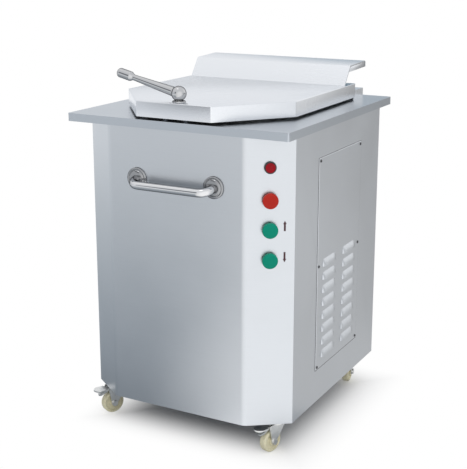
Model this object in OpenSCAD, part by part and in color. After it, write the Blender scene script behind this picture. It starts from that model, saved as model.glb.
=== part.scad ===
// Floor-standing hydraulic dough divider on four castors.
// Millimetres. The origin is on the floor, below the middle of the footprint.
// +X points to the right of a person who faces the front, +Y to the rear, +Z up.

/* [Tabletop] */
// Width of the tabletop
top_w = 650; // [600:5:760]
// Depth of the tabletop
top_d = 695; // [670:5:800]
// Height of the tabletop's upper face above the floor
top_h = 875; // [850:5:950]
// Height of the tabletop's folded edge
top_edge = 21.4; // [14:0.2:34]
// Sheet thickness of the tabletop
top_t = 3; // [2:0.5:5]
// Radius of the tabletop's upright corners
top_corner_r = 5; // [2:0.5:15]

/* [Cabinet] */
// Overhang of the tabletop past each side panel
over_side = 19.5; // [10:0.5:30]
// Overhang of the tabletop past the front panel
over_front = 8.5; // [4:0.5:20]
// Overhang of the tabletop past the rear panel
over_rear = 38; // [25:1:45]
// Width of each front chamfer, measured across the front
chamfer_w = 104.6; // [90:0.2:120]
// Depth of each front chamfer, measured front to rear
chamfer_d = 74.3; // [60:0.1:85]
// Outer radius of the bend between the front and a chamfer
bend_r = 28; // [6:1:32]
// Sheet thickness of the panels
panel_t = 1.5; // [1:0.1:2.5]
// Gap at the seams between panels
seam = 0.6; // [0.3:0.1:1]

/* [Frame] */
// Width of the base rails
rail_w = 40; // [30:1:46]
// Height of the base rails
rail_h = 30; // [25:1:40]
// Width of the corner posts
post_w = 30; // [20:1:36]
// Wall of the rails and posts
tube_t = 2.5; // [1.5:0.5:4]
// Thickness of the floor tray
tray_t = 2; // [1:0.5:4]

/* [Castors] */
// Height from the floor to the base rails
caster_h = 88; // [84:1:100]
// Diameter of a wheel
wheel_d = 63; // [56:1:64]
// Width of a wheel's tread
wheel_w = 22; // [18:1:26]
// Distance from the kingpin to the axle
trail = 20; // [16:1:25]
// Distance from a side panel to the kingpins
caster_side = 53.5; // [45:0.5:60]
// Distance from the front panel to the front kingpins
caster_front = 84; // [80:1:100]
// Distance from the rear panel to the rear kingpins
caster_rear = 74.5; // [60:0.5:90]
// Heading of each wheel, front left, front right, rear left, rear right
caster_headings = [-120, -107, -75, 100]; // [-180:0.5:180]

/* [Grab handle] */
// Distance between the handle's two feet
handle_span = 228; // [160:1:300]
// Drop from the tabletop to the handle
handle_drop = 157; // [120:1:260]
// Distance from the front panel to the middle of the bar
handle_reach = 37; // [34:1:60]
// Drop of the bar below its feet
handle_sag = 9; // [0:1:12]
// Diameter of the bar
handle_d = 22; // [16:1:26]
// Bend radius at the middle of the bar
handle_bend = 27; // [20:1:28]
// Diameter of the foot rosettes
rosette_d = 58; // [40:1:64]
// Thickness of the foot rosettes
rosette_t = 8; // [5:0.5:12]

/* [Controls] */
// Drop from the tabletop to the pilot lamp
lamp_drop = 98.6; // [80:0.2:110]
// Drop from the tabletop to the stop button
stop_drop = 181.4; // [160:0.2:190]
// Drop from the tabletop to the raise button
up_drop = 257.5; // [240:0.5:270]
// Drop from the tabletop to the lower button
down_drop = 336.2; // [320:0.2:350]
// Diameter of the panel holes
control_hole = 22.3; // [20:0.1:24]
// Diameter of the pilot lamp's bezel
bezel_d = 31; // [28:0.5:34]
// Diameter of the button collars
collar_d = 28; // [26:0.5:31]
// Thickness of the collars
collar_t = 2.5; // [2:0.5:9]
// Diameter of the mushroom heads
head_d = 40; // [34:1:46]
// Thickness of the mushroom heads
head_t = 9; // [8:0.5:16]
// Travel of the buttons
button_travel = 4; // [3:0.5:7]
// Diameter of the button stems
stem_d = 16; // [12:0.5:17]

/* [Access panel] */
// Width of the access panel, front to rear
access_w = 290; // [250:2:310]
// Height of the access panel
access_h = 590; // [500:5:620]
// Drop from the tabletop to the panel's upper edge
access_drop = 103; // [70:1:120]
// Distance of the panel's middle behind the tabletop's middle
access_y = 23; // [0:1:40]
// Overlap of the panel on the window behind it
access_lap = 16; // [12:1:24]
// Distance of the screws from the panel's edges
screw_inset = 8; // [6:0.5:11]
// Diameter of the screw shanks
screw_d = 4; // [3:0.5:5]

/* [Louvres] */
// Length of a louvre
louvre_w = 86; // [60:1:110]
// Height of a louvre
louvre_h = 23; // [14:1:30]
// How far a louvre stands out
louvre_out = 8; // [4:0.5:12]
// Louvres in a column
louvre_rows = 8; // [4:1:8]
// Distance between louvres in a column
louvre_pitch = 37.1; // [32:0.1:38]
// Distance between the two columns
louvre_cols = 137.2; // [118:0.2:150]
// Drop from the panel's upper edge to the first louvre
louvre_drop = 290; // [180:1:300]

/* [Lid] */
// Width of the lid
lid_w = 511.4; // [480:0.2:530]
// Depth of the lid
lid_d = 581.5; // [560:0.5:600]
// Distance of the lid's front behind the tabletop's front edge
lid_set = 4; // [2:0.5:20]
// Width of the lid's front chamfers
lid_chamfer_w = 146; // [110:1:160]
// Depth of the lid's front chamfers
lid_chamfer_d = 183; // [120:1:195]
// Gap between the tabletop and the lid's skirt
lid_lift = 7; // [6:0.2:14]
// Height of the lid's skirt
lid_h = 40.2; // [32:0.2:45]
// Sheet thickness of the lid
lid_t = 3; // [2:0.5:4]
// Thickness of the press plate under the lid
platen_t = 18; // [12:1:20]

/* [Upstand] */
// Width of the upstand on the lid
upstand_w = 500; // [420:2:510]
// Distance of the upstand's foot in front of the lid's rear edge
upstand_set = 63; // [50:1:100]
// How far the upstand leans back
upstand_lean = 37; // [20:1:60]
// Height of the upstand above the lid
upstand_rise = 50; // [40:1:70]
// Depth of the upstand's flange
upstand_flange = 112; // [80:1:120]
// Rise of the flange from its bend to its rear edge
flange_rise = 4; // [0:0.5:8]
// Height of the flange's turned-down lip
upstand_lip = 15; // [8:1:20]
// Sheet thickness of the upstand
upstand_t = 3; // [2:0.5:4]

/* [Lid hinge] */
// Distance of the hinge axis behind the lid's rear edge
hinge_back = 47; // [42:0.5:52]
// Height of the hinge axis above the tabletop
hinge_up = 13; // [12.5:0.5:16]
// Diameter of the hinge shaft
shaft_d = 14; // [10:0.5:16]
// Distance between a hinge arm and the bracket beside it
bracket_gap = 29; // [4:1:40]
// Width of a hinge bracket
bracket_w = 34; // [24:1:40]
// Depth of a hinge bracket
bracket_d = 73; // [60:1:76]
// Height of a hinge bracket
bracket_h = 25; // [24:0.5:30]
// Distance between the middles of the hinge arms
arm_span = 340; // [240:2:360]
// Width of a hinge arm
arm_w = 30; // [20:1:40]
// Outer radius of an arm's knuckle
knuckle_r = 12; // [10:0.5:12]

/* [Lever] */
// Distance of the lever's pivot behind the lid's front edge
lever_set = 30.5; // [29:0.5:40]
// Diameter of the lever's ball
ball_d = 39; // [34:1:44]
// Height of the ball's middle above the lid
ball_lift = 21.4; // [19:0.2:26]
// Upward tilt of the lever's arm
lever_tilt = 13.7; // [8:0.1:25]
// Distance from the ball's middle to the end of the arm's taper
arm_len = 139; // [100:1:150]
// Arm diameter at the ball
arm_d_in = 26; // [16:0.5:28]
// Arm diameter at the neck
arm_d_out = 15; // [9:0.5:18]
// Length of the cone between the neck and the knob
neck_len = 9; // [8:1:20]
// Diameter of the knob
knob_d = 25; // [20:0.5:30]
// Length of the knob
knob_len = 40; // [30:1:50]
// Diameter of the lock spindle
spindle_d = 16; // [12:0.5:18]
// Length of the bar at the foot of the lock spindle
tbar_len = 28; // [22:1:30]
// Width of the bar at the foot of the lock spindle
tbar_w = 10; // [7:0.5:11]

/* [Basin and press] */
// Inner diameter of the basin
basin_d = 390; // [360:2:400]
// Wall of the basin
basin_t = 4; // [3:0.5:6]
// Distance of the basin's middle in front of the tabletop's middle
basin_front = 40; // [35:1:48]
// Depth of the dough chamber with the pads down
chamber_d = 120; // [100:1:125]
// Thickness of the pressing pads
pad_t = 25; // [18:1:30]
// Pads in the inner ring
inner_n = 6; // [4:1:8]
// Pads in the outer ring
outer_n = 14; // [10:1:16]
// Thickness of the knives
knife_t = 2; // [1.5:0.1:2.5]
// Clearance between a knife and the pads beside it
knife_gap = 0.5; // [0.3:0.05:0.8]
// Diameter of the pad posts
post_d = 18; // [12:1:20]
// Outer diameter of the main ram's barrel
ram_d = 90; // [76:1:100]
// Wall of the main ram's barrel
ram_t = 9; // [6:0.5:12]
// Diameter of the main ram's rod
ram_rod_d = 44; // [34:1:50]
// Outer diameter of the knife cylinders
lift_d = 50; // [40:1:54]
// Wall of the knife cylinders
lift_t = 7; // [5:0.5:9]
// Diameter of the knife cylinders' rods
lift_rod_d = 20; // [14:1:24]
// Distance of the knife cylinders from the basin's middle
lift_x = 215; // [208:1:216]
// Diameter of the tie rods
tie_d = 24; // [18:1:28]

/* [Power unit] */
// Diameter of the motor
motor_d = 120; // [100:1:122]
// Height of the motor
motor_h = 220; // [180:2:260]
// Distance of the motor to the right of the middle
motor_x = 120; // [112:1:150]
// Distance of the motor's middle from the rear panel
motor_rear = 64.5; // [63:0.5:66]
// Width of the oil tank
tank_w = 340; // [300:2:344]
// Depth of the oil tank
tank_d = 450; // [420:2:470]
// Wall of the oil tank
tank_t = 2; // [1.5:0.5:3]
// Diameter of the pressure pipes
pipe_d = 10; // [8:1:12]
// Bore of the cable gland
gland_bore = 10; // [6:0.5:14]
// Diameter of the cable gland's body
gland_d = 26; // [22:1:32]

/* [Hidden] */
$fn = 64;

// Overrun of cuts past the faces that they open
cut = 1;
// Gap between still faces that nest
nest = 0.3;
// Radial clearance of shafts, pins and rods that turn or slide
run = 0.05;

// Colours
SATIN = [0.74, 0.76, 0.78];
PALE = [0.85, 0.87, 0.89];
BRIGHT = [0.9, 0.9, 0.92];
ZINC = [0.66, 0.67, 0.66];
DARK = [0.25, 0.26, 0.28];
BLACK = [0.07, 0.07, 0.08];
RED = [0.72, 0.2, 0.16];
LAMP = [0.6, 0.07, 0.1];
GREEN = [0.05, 0.55, 0.45];
CREAM = [0.84, 0.82, 0.7];
WHITE = [0.92, 0.92, 0.9];
BLUE = [0.2, 0.3, 0.42];
BRASS = [0.72, 0.6, 0.35];

// Length of the handle's legs and the slope they follow
handle_leg = norm([handle_reach, handle_sag]);
handle_tilt = atan2(handle_sag, handle_reach);

// The handle stands out in front, so the tabletop's middle lies behind the origin
body_y = (handle_reach + handle_d / 2 - over_front) / 2;

// Cabinet faces, seen from the tabletop's middle
cab_x = top_w / 2 - over_side;
cab_front = over_front - top_d / 2;
cab_rear = top_d / 2 - over_rear;
cab_top = top_h - top_t;
inner_x = cab_x - panel_t;
inner_rear = cab_rear - panel_t;
chamfer_a = atan2(chamfer_d, chamfer_w);
chamfer_end = cab_front + chamfer_d;
chamfer_mid = [cab_x - chamfer_w / 2, cab_front + chamfer_d / 2];
side_front = chamfer_end + seam;

// Bends of the front panel
bend_steps = 6;
bend_mid = [cab_x - chamfer_w - bend_r * tan(chamfer_a / 2), cab_front + bend_r];

// Base frame
rail_top = caster_h + rail_h;
tray_top = rail_top + tray_t;
kingpin_x = cab_x - caster_side;
kingpin_front = cab_front + caster_front;
kingpin_rear = cab_rear - caster_rear;
rail_x = inner_x - rail_w;
cross_w = 40;
drain_d = 8;
tray_gap = 2;

// Heights of the press, from the tabletop down
rim = 0.5;
stroke_spare = 2;
stroke = chamber_d - stroke_spare;
pad_top = top_h - chamber_d;
pad_bottom = pad_top - pad_t;
knife_set = 3;
knife_foot = 10;
knife_top = pad_top - knife_set;
knife_bottom = pad_bottom - stroke - knife_foot;
carrier_t = 15;
carrier_gap = 2;
carrier_top = knife_bottom - stroke - carrier_gap;
carrier_bottom = carrier_top - carrier_t;
rod_show = 15;
gland_t = 12;
gland_top = carrier_bottom - rod_show;
barrel_top = gland_top - gland_t;
barrel_spare = 102;
plate_t = 15;
plate_top = barrel_top - stroke - barrel_spare;
plate_bottom = plate_top - plate_t;
basin_drop = 5;
basin_bottom = pad_bottom - basin_drop;

// Plan of the press
basin_y = -basin_front;
basin_r = basin_d / 2;
basin_out = basin_r + basin_t;
basin_hole = basin_out + nest;
basin_lip = 10;
basin_lip_t = 4;
head_plate_t = 12;
head_plate_bottom = cab_top - head_plate_t;
tie_x = 190;
tie_y = 195;
tie_foot_d = 36;
plate_edge = 18;
foot_edge = 3;
pad_gap = knife_t + 2 * knife_gap;
ring_r = basin_r * sqrt(inner_n / (inner_n + outer_n));
hub_r = 6;
blade_gap = 0.05;
pad_steps = 8;
inner_post_share = 0.62;
outer_post_share = 0.52;
carrier_share = 0.85;
carrier_r = basin_r * carrier_share;
carrier_clear = 6;
knife_ring_in = carrier_r + carrier_clear;
knife_ring_edge = 17;
knife_ring_out = lift_x + knife_ring_edge;
piston_t = 25;
piston_up = 20;
ram_floor = 12;

// Lid
lid_x = lid_w / 2;
lid_front = lid_set - top_d / 2;
lid_rear = lid_front + lid_d;
lid_bottom = top_h + lid_lift;
lid_top = lid_bottom + lid_h;
lid_outline = [[-lid_x, lid_rear], [-lid_x, lid_front + lid_chamfer_d], [lid_chamfer_w - lid_x, lid_front],
    [lid_x - lid_chamfer_w, lid_front], [lid_x, lid_front + lid_chamfer_d], [lid_x, lid_rear]];
platen_gap = 0.5;
platen_over = 6;
platen_bottom = top_h + rim + platen_gap;
platen_top = platen_bottom + platen_t;
platen_r = basin_out + platen_over;
rib_t = 12;
rib_reach = 190;
rib_shares = [-0.6, -0.22, 0.22, 0.6];

// Hinge
hinge_y = lid_rear + hinge_back;
hinge_z = top_h + hinge_up;
shaft_end = 5;
bracket_span = arm_span + arm_w + 2 * (bracket_gap + bracket_w);
bracket_x = bracket_span / 2;
bracket_set = 7;
arm_rise = 26;

// Lever and lock
lever_y = lid_front + lever_set;
ball_z = lid_top + ball_lift;
bush_d = 24;
bush_flange_d = 34;
bush_flange_t = 3;
bush_nut_t = 7;
tbar_h = 5;
tbar_low = 4.5;
keeper_t = 5;
keeper_wall = 10;
keeper_room = 11;
keeper_side = 25;
keeper_slot = 1.5;
keeper_lap = 4.5;

// Controls
control_zs = [top_h - lamp_drop, top_h - stop_drop, top_h - up_drop, top_h - down_drop];
barrel_len = 22;
nut_d = 29;
nut_t = 5;
dome_r = 60;
head_gap = 0.5;
bezel_t = 6;
lens_d = 25;
lens_floor = 2;
lens_dome_r = 20;
block_w = 30;
block_h = 40;
block_len = 40;

// Access panel
access_x = cab_x;
access_top = top_h - access_drop;
access_bottom = access_top - access_h;
screw_head_d = 8;
screw_head_t = 2.5;
screw_len = 10;
louvre_t = 1.2;

// Castors
caster_plate_w = 60;
caster_plate_d = 50;
caster_plate_t = 3;
race_d = 40;
race_t = 5;
crown_d = 46;
crown_t = 5;
swivel_gap = 0.3;
kingpin_d = 12;
rivet_d = 20;
rivet_t = 4.4;
crown_top = caster_h - caster_plate_t - race_t - swivel_gap;
crown_bottom = crown_top - crown_t;
fork_t = 2.5;
hub_gap = 0.5;
hub_side = 2.5;
fork_in = wheel_w / 2 + hub_side + hub_gap;
fork_out = fork_in + fork_t;
axle_d = 10;
axle_head_d = 16;
axle_head_t = 4;
axle_z = wheel_d / 2;
boss_r = 9;
fork_back = 22;
fork_ear = 36;
fork_ear_h = 11;
wheel_hub_r = 12;
wheel_rim_share = 0.74;
wheel_dish = 4;
wheel_round = 4;
pedal_pin_d = 5;
pedal_barrel_r = 4.5;
pedal_pin_x = 30;
pedal_pin_drop = 6.5;
pedal_side_gap = 1;
pedal_t = 4;
pedal_tread = 12;
pedal_len = 46;
pedal_w = 33;
pedal_slope = 0;
release_len = 36;
release_w = 22;
release_slope = 26;

// Power unit
tank_gap = 5;
tank_top = plate_bottom - tank_gap;
tank_rear_gap = 8;
tank_rear = inner_rear - tank_rear_gap;
filler_d = 30;
filler_in = 40;
motor_y = cab_rear - motor_rear;
motor_wall = 14;
motor_base = 30;
motor_cap = 12;
motor_shaft_d = 14;
rotor_gap = 8;
motor_room_r = motor_d / 2 - motor_wall;
motor_room_h = motor_h - motor_base - motor_cap;
shaft_hole_gap = 2;
pump_w = 60;
pump_d = 50;
pump_h = 45;
valve_w = 90;
valve_d = 70;
valve_h = 70;
valve_rear = 58;
coil_d = 32;
coil_h = 45;
coil_x = 24;
pipe_bend = 20;
pipe_up = 35;
ram_pipe_up = 18;
pipe_z = plate_top + pipe_up;
ram_pipe_z = plate_top + ram_pipe_up;
pipe_x = 30;
pipe_back = 160;
box_w = 60;
box_d = 130;
box_h = 250;
box_y = 65;
box_drop = 325;
box_t = 1.5;
box_hole_d = 20;
cable_side = 105.5;
cable_x = cab_x - cable_side;
cable_up = 110;
cable_out = 26;
cable_in = 10;
cable_nut_d = 28;
cable_shoulder = 3;

// Outlines and curves
function unit(v) = v / norm(v);
function inward(a, b) = let(e = unit(b - a)) [-e.y, e.x];
function inset(pts, d) = let(n = len(pts))
    [for (i = [0 : n - 1])
        let(a = inward(pts[(i + n - 1) % n], pts[i]), b = inward(pts[i], pts[(i + 1) % n]))
        pts[i] + d * (a + b) / (1 + a * b)];
function backwards(pts) = [for (i = [len(pts) - 1 : -1 : 0]) pts[i]];
function mirrored(pts) = [for (p = backwards(pts)) [-p.x, p.y]];
function arc(r, from, to, n) = [for (i = [0 : n]) let(t = from + (to - from) * i / n) r * [cos(t), sin(t)]];

// Half of the front panel's section, from the front's bend to the chamfer's edge, at a depth in the sheet
function front_half(d) = concat([for (p = arc(bend_r - d, -90, chamfer_a - 90, bend_steps)) bend_mid + p],
    [[cab_x - d / sin(chamfer_a), chamfer_end]]);
function front_line(d) = concat(mirrored(front_half(d)), front_half(d));

// Outline of a pad between two radii and two knives, with a parallel gap beside each knife
function pad_outline(r_in, r_out, a) = let(g_in = asin(pad_gap / 2 / r_in), g_out = asin(pad_gap / 2 / r_out))
    concat(arc(r_out, g_out, a - g_out, pad_steps), arc(r_in, a - g_in, g_in, pad_steps));

// Places everything that hangs on the tabletop's middle
module in_body() translate([0, body_y, 0]) children();

// Works on the right chamfer: local +Z points out of the panel and +Y up
module on_chamfer(z) translate([chamfer_mid.x, chamfer_mid.y, z]) rotate([90, 0, chamfer_a]) children();

// Copies its children to the left
module both_sides() {
    children();
    mirror([1, 0, 0]) children();
}

// Block between two corners
module span(low, high) translate(low) cube(high - low);

// Rectangular tube along an axis, 0 for X, 1 for Y and 2 for Z
module tube(low, high, along) {
    wall = [for (i = [0 : 2]) i == along ? -cut : tube_t];
    difference() {
        span(low, high);
        span(low + wall, high - wall);
    }
}

module ring(r_in, r_out, h) difference() {
    cylinder(r = r_out, h = h);
    translate([0, 0, -cut]) cylinder(r = r_in, h = h + 2 * cut);
}

// Cylinder along +X or +Y
module along_x(r, h) rotate([0, 90, 0]) cylinder(r = r, h = h);
module along_y(r, h) rotate([-90, 0, 0]) cylinder(r = r, h = h);

// Rectangle with round ends, lying in the plane
module stadium(w, h) {
    square([w - h, h], center = true);
    for (s = [-1, 1]) translate([s * (w - h) / 2, 0]) circle(d = h);
}

// Welded rails; the closed ones have a drain hole below
module base_frame() in_body() color(DARK) difference() {
    union() {
        both_sides() tube([rail_x, side_front, caster_h], [inner_x, inner_rear, rail_top], 1);
        for (y = [kingpin_front, kingpin_rear])
            tube([-rail_x, y - rail_w / 2, caster_h], [rail_x, y + rail_w / 2, rail_top], 0);
        both_sides() tube([tie_x - cross_w / 2, kingpin_front + rail_w / 2, caster_h],
            [tie_x + cross_w / 2, kingpin_rear - rail_w / 2, rail_top], 1);
    }
    for (p = [[0, kingpin_front], [0, kingpin_rear], [-tie_x, 0], [tie_x, 0]])
        translate([p.x, p.y, caster_h - cut]) cylinder(d = drain_d, h = tube_t + 2 * cut);
}

// Floor between the posts that follows the front and its chamfers
module floor_tray() in_body() color(DARK) translate([0, 0, rail_top]) linear_extrude(tray_t) {
    half = inner_x - post_w;
    flat_x = cab_x - chamfer_w;
    corner_y = cab_front + chamfer_d * (half - flat_x) / chamfer_w;
    outline = [[-half, inner_rear], [-half, corner_y], [-flat_x, cab_front],
        [flat_x, cab_front], [half, corner_y], [half, inner_rear]];
    polygon(inset(outline, panel_t + tray_gap));
}

module frame_posts() in_body() color(DARK) both_sides() for (y = [side_front, inner_rear - post_w])
    tube([inner_x - post_w, y, rail_top], [inner_x, y + post_w, cab_top], 2);

module front_panel() in_body() color(SATIN) difference() {
    translate([0, 0, caster_h]) linear_extrude(cab_top - caster_h)
        polygon(concat(front_line(0), backwards(front_line(panel_t))));
    for (z = control_zs) on_chamfer(z) translate([0, 0, -panel_t - cut])
        cylinder(d = control_hole, h = panel_t + 2 * cut);
}

module side_sheet() span([inner_x, side_front, caster_h], [cab_x, cab_rear, cab_top]);

module left_panel() in_body() color(SATIN) mirror([1, 0, 0]) side_sheet();

module right_panel() in_body() color(SATIN) difference() {
    side_sheet();
    span([inner_x - cut, access_y - access_w / 2 + access_lap, access_bottom + access_lap],
        [cab_x + cut, access_y + access_w / 2 - access_lap, access_top - access_lap]);
    access_screw_places() translate([-screw_len, 0, 0]) along_x(screw_d / 2 + nest, screw_len + cut);
}

module rear_panel() in_body() color(SATIN) difference() {
    span([seam - inner_x, inner_rear, caster_h], [inner_x - seam, cab_rear, cab_top]);
    translate([-cable_x, inner_rear - cut, tray_top + cable_up])
        along_y(gland_d / 2 - cable_shoulder + nest, panel_t + 2 * cut);
}

// Six screws near the edges of the access panel, on its outer face
module access_screw_places() for (y = [-1, 1], z = [-1, 0, 1])
    translate([access_x + panel_t, access_y + y * (access_w / 2 - screw_inset),
        (access_top + access_bottom) / 2 + z * (access_h / 2 - screw_inset)]) children();

// One pressed louvre; at a depth in the sheet it is the hood's inside, which opens downwards
module louvre(depth) translate([-depth, 0, -depth]) intersection() {
    rotate([90, 0, 90]) linear_extrude(louvre_out) stadium(louvre_w - 2 * depth, louvre_h);
    translate([0, louvre_w / 2, 0]) rotate([90, 0, 0]) linear_extrude(louvre_w)
        polygon([[0, louvre_h / 2], [louvre_out, -louvre_h / 2], [0, -louvre_h / 2]]);
}

// Places of the louvres on the outer face of the access panel
module louvre_places() for (c = [-1, 1], i = [0 : louvre_rows - 1])
    translate([access_x + panel_t, access_y + c * louvre_cols / 2,
        access_top - louvre_drop - i * louvre_pitch]) children();

module access_panel() in_body() color(SATIN) difference() {
    union() {
        span([access_x, access_y - access_w / 2, access_bottom],
            [access_x + panel_t, access_y + access_w / 2, access_top]);
        louvre_places() louvre(0);
    }
    louvre_places() {
        louvre(louvre_t);
        translate([-panel_t - cut, 0, 0]) rotate([90, 0, 90]) linear_extrude(panel_t + cut)
            stadium(louvre_w - 2 * louvre_t, louvre_h - 2 * louvre_t);
    }
    access_screw_places() translate([-panel_t - cut, 0, 0]) along_x(screw_d / 2 + nest, panel_t + 2 * cut);
}

module access_screws() in_body() color(BRIGHT) access_screw_places() {
    along_x(screw_head_d / 2, screw_head_t);
    translate([-screw_len, 0, 0]) along_x(screw_d / 2, screw_len);
}

module tabletop() in_body() color(PALE) difference() {
    translate([0, 0, top_h - top_edge]) linear_extrude(top_edge) rounded_rect(top_w, top_d, top_corner_r);
    translate([0, 0, top_h - top_edge - cut]) linear_extrude(top_edge - top_t + cut)
        rounded_rect(top_w - 2 * top_t, top_d - 2 * top_t, max(top_corner_r - top_t, run));
    translate([0, basin_y, top_h - top_t - cut]) cylinder(r = basin_hole, h = top_t + 2 * cut, $fn = 128);
}

module rounded_rect(w, d, r) {
    square([w - 2 * r, d], center = true);
    square([w, d - 2 * r], center = true);
    for (x = [-1, 1], y = [-1, 1]) translate([x * (w / 2 - r), y * (d / 2 - r)]) circle(r = r);
}

module at_handle() in_body() translate([0, cab_front, top_h - handle_drop]) children();

// The bar and its legs lie in a plane that slopes down from the feet
module handle_bar() at_handle() color(BRIGHT) intersection() {
    rotate([handle_tilt, 0, 0]) {
        bar = handle_span - 2 * handle_bend;
        translate([-bar / 2, -handle_leg, 0]) along_x(handle_d / 2, bar);
        both_sides() {
            translate([bar / 2, handle_bend - handle_leg, 0]) rotate([0, 0, -90])
                rotate_extrude(angle = 90) translate([handle_bend, 0]) circle(d = handle_d);
            translate([handle_span / 2, handle_bend - handle_leg, 0])
                along_y(handle_d / 2, handle_leg - handle_bend + handle_d * tan(handle_tilt));
        }
    }
    span([-handle_span, -2 * handle_leg, -rosette_d], [handle_span, 0, rosette_d]);
}

module handle_rosettes() at_handle() color(BRIGHT) both_sides()
    translate([handle_span / 2, 0, 0]) difference() {
        rotate([90, 0, 0]) {
            cylinder(d = rosette_d, h = rosette_t / 2);
            translate([0, 0, rosette_t / 2])
                cylinder(d1 = rosette_d, d2 = (rosette_d + handle_d) / 2, h = rosette_t / 2);
        }
        rotate([90 + handle_tilt, 0, 0]) translate([0, 0, -rosette_t])
            cylinder(r = handle_d / 2 + run, h = 3 * rosette_t);
    }

// Threaded barrel of a control with its nut behind the panel
module control_barrel() {
    translate([0, 0, -barrel_len]) cylinder(r = control_hole / 2 - nest, h = barrel_len);
    translate([0, 0, -panel_t - nut_t]) cylinder(d = nut_d, h = nut_t);
}

module control_bezels() in_body() color(BLACK) {
    on_chamfer(control_zs[0]) difference() {
        union() {
            control_barrel();
            cylinder(d = bezel_d, h = bezel_t);
        }
        translate([0, 0, lens_floor]) cylinder(r = lens_d / 2 + nest, h = bezel_t);
    }
    for (i = [1 : 3]) on_chamfer(control_zs[i]) difference() {
        union() {
            control_barrel();
            cylinder(d = collar_d, h = collar_t);
        }
        translate([0, 0, -barrel_len - cut])
            cylinder(r = stem_d / 2 + run, h = barrel_len + collar_t + 2 * cut);
    }
}

module lamp_lens() in_body() color(LAMP) on_chamfer(control_zs[0])
    translate([0, 0, lens_floor]) intersection() {
        cylinder(d = lens_d, h = lens_dome_r);
        translate([0, 0, bezel_t - lens_dome_r + lens_floor]) sphere(r = lens_dome_r);
    }

module switch_blocks() in_body() color(DARK) for (z = control_zs) on_chamfer(z)
    translate([-block_w / 2, -block_h / 2, -barrel_len - block_len]) cube([block_w, block_h, block_len]);

module push_button(z) in_body() on_chamfer(z) {
    head_low = collar_t + button_travel + head_gap;
    stem_low = button_travel + head_gap - barrel_len;
    translate([0, 0, stem_low]) cylinder(d = stem_d, h = head_low - stem_low);
    translate([0, 0, head_low]) intersection() {
        cylinder(d = head_d, h = head_t);
        translate([0, 0, head_t - dome_r]) sphere(r = dome_r);
    }
}

module stop_button() color(RED) push_button(control_zs[1]);
module up_button() color(GREEN) push_button(control_zs[2]);
module down_button() color(GREEN) push_button(control_zs[3]);

module at_basin() in_body() translate([0, basin_y, 0]) children();
module at_ties() for (x = [-1, 1], y = [-1, 1]) translate([x * tie_x, y * tie_y, 0]) children();

// The head plate holds the basin, and the foot plate below carries the cylinders
module press_plates() at_basin() color(DARK) {
    x = tie_x + plate_edge + tie_d / 2;
    y = tie_y + plate_edge;
    foot_x = lift_x + lift_d / 2 + foot_edge;
    difference() {
        span([-x, -y, head_plate_bottom], [x, y, cab_top]);
        translate([0, 0, head_plate_bottom - cut])
            cylinder(r = basin_hole, h = head_plate_t + 2 * cut, $fn = 128);
    }
    difference() {
        span([-foot_x, -y, plate_bottom], [foot_x, y, plate_top]);
        at_ties() translate([0, 0, plate_bottom - cut]) cylinder(r = tie_d / 2 + run, h = plate_t + 2 * cut);
    }
}

module tie_rods() at_basin() color(BRIGHT) at_ties() {
    translate([0, 0, tray_top]) cylinder(d = tie_foot_d, h = plate_bottom - tray_top);
    translate([0, 0, plate_bottom]) cylinder(d = tie_d, h = head_plate_bottom - plate_bottom);
}

module basin() at_basin() color(PALE) {
    $fn = 128;
    translate([0, 0, basin_bottom]) ring(basin_r, basin_out, top_h + rim - basin_bottom);
    translate([0, 0, head_plate_bottom - basin_lip_t]) ring(basin_r, basin_out + basin_lip, basin_lip_t);
}

// Barrel of a cylinder with a closed foot
module barrel(d, wall, floor_t, h) difference() {
    cylinder(d = d, h = h);
    translate([0, 0, floor_t]) cylinder(r = d / 2 - wall + run, h = h);
}

module ram_barrel() at_basin() color(BLUE) translate([0, 0, plate_top])
    barrel(ram_d, ram_t, ram_floor, barrel_top - plate_top);

module ram_gland() at_basin() color(BRASS) translate([0, 0, barrel_top])
    ring(ram_rod_d / 2 + run, ram_d / 2, gland_t);

module at_lifts() both_sides() translate([lift_x, 0, 0]) children();

module knife_cylinders() at_basin() color(BLUE) at_lifts() {
    translate([0, 0, plate_top]) barrel(lift_d, lift_t, ram_floor, barrel_top - plate_top);
    translate([0, 0, barrel_top]) ring(lift_rod_d / 2 + run, lift_d / 2, gland_t);
}

module at_motor() in_body() translate([motor_x, motor_y, 0]) children();

module oil_tank() color(BLUE) difference() {
    in_body() span([-tank_w / 2, tank_rear - tank_d, tray_top], [tank_w / 2, tank_rear, tank_top]);
    in_body() span([tank_t - tank_w / 2, tank_rear - tank_d + tank_t, tray_top + tank_t],
        [tank_w / 2 - tank_t, tank_rear - tank_t, tank_top - tank_t]);
    at_motor() translate([0, 0, tank_top - tank_t - cut])
        cylinder(r = motor_shaft_d / 2 + shaft_hole_gap, h = tank_t + 2 * cut);
    in_body() translate([filler_in - tank_w / 2, tank_rear - filler_in, tank_top - tank_t - cut])
        cylinder(d = filler_d, h = tank_t + 2 * cut);
}

module motor_housing() at_motor() color(DARK) translate([0, 0, tank_top]) difference() {
    cylinder(d = motor_d, h = motor_h);
    translate([0, 0, motor_base]) cylinder(r = motor_room_r, h = motor_room_h);
    translate([0, 0, -cut]) cylinder(r = motor_shaft_d / 2 + run, h = motor_h - motor_cap / 2 + cut);
}

module motor_rotor() at_motor() color(ZINC) {
    low = tank_top - tank_t - pump_h / 2;
    translate([0, 0, low]) cylinder(d = motor_shaft_d, h = tank_top + motor_h - motor_cap / 2 - nest - low);
    translate([0, 0, tank_top + motor_base + rotor_gap])
        cylinder(r = motor_room_r - rotor_gap, h = motor_room_h - 2 * rotor_gap);
}

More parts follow.
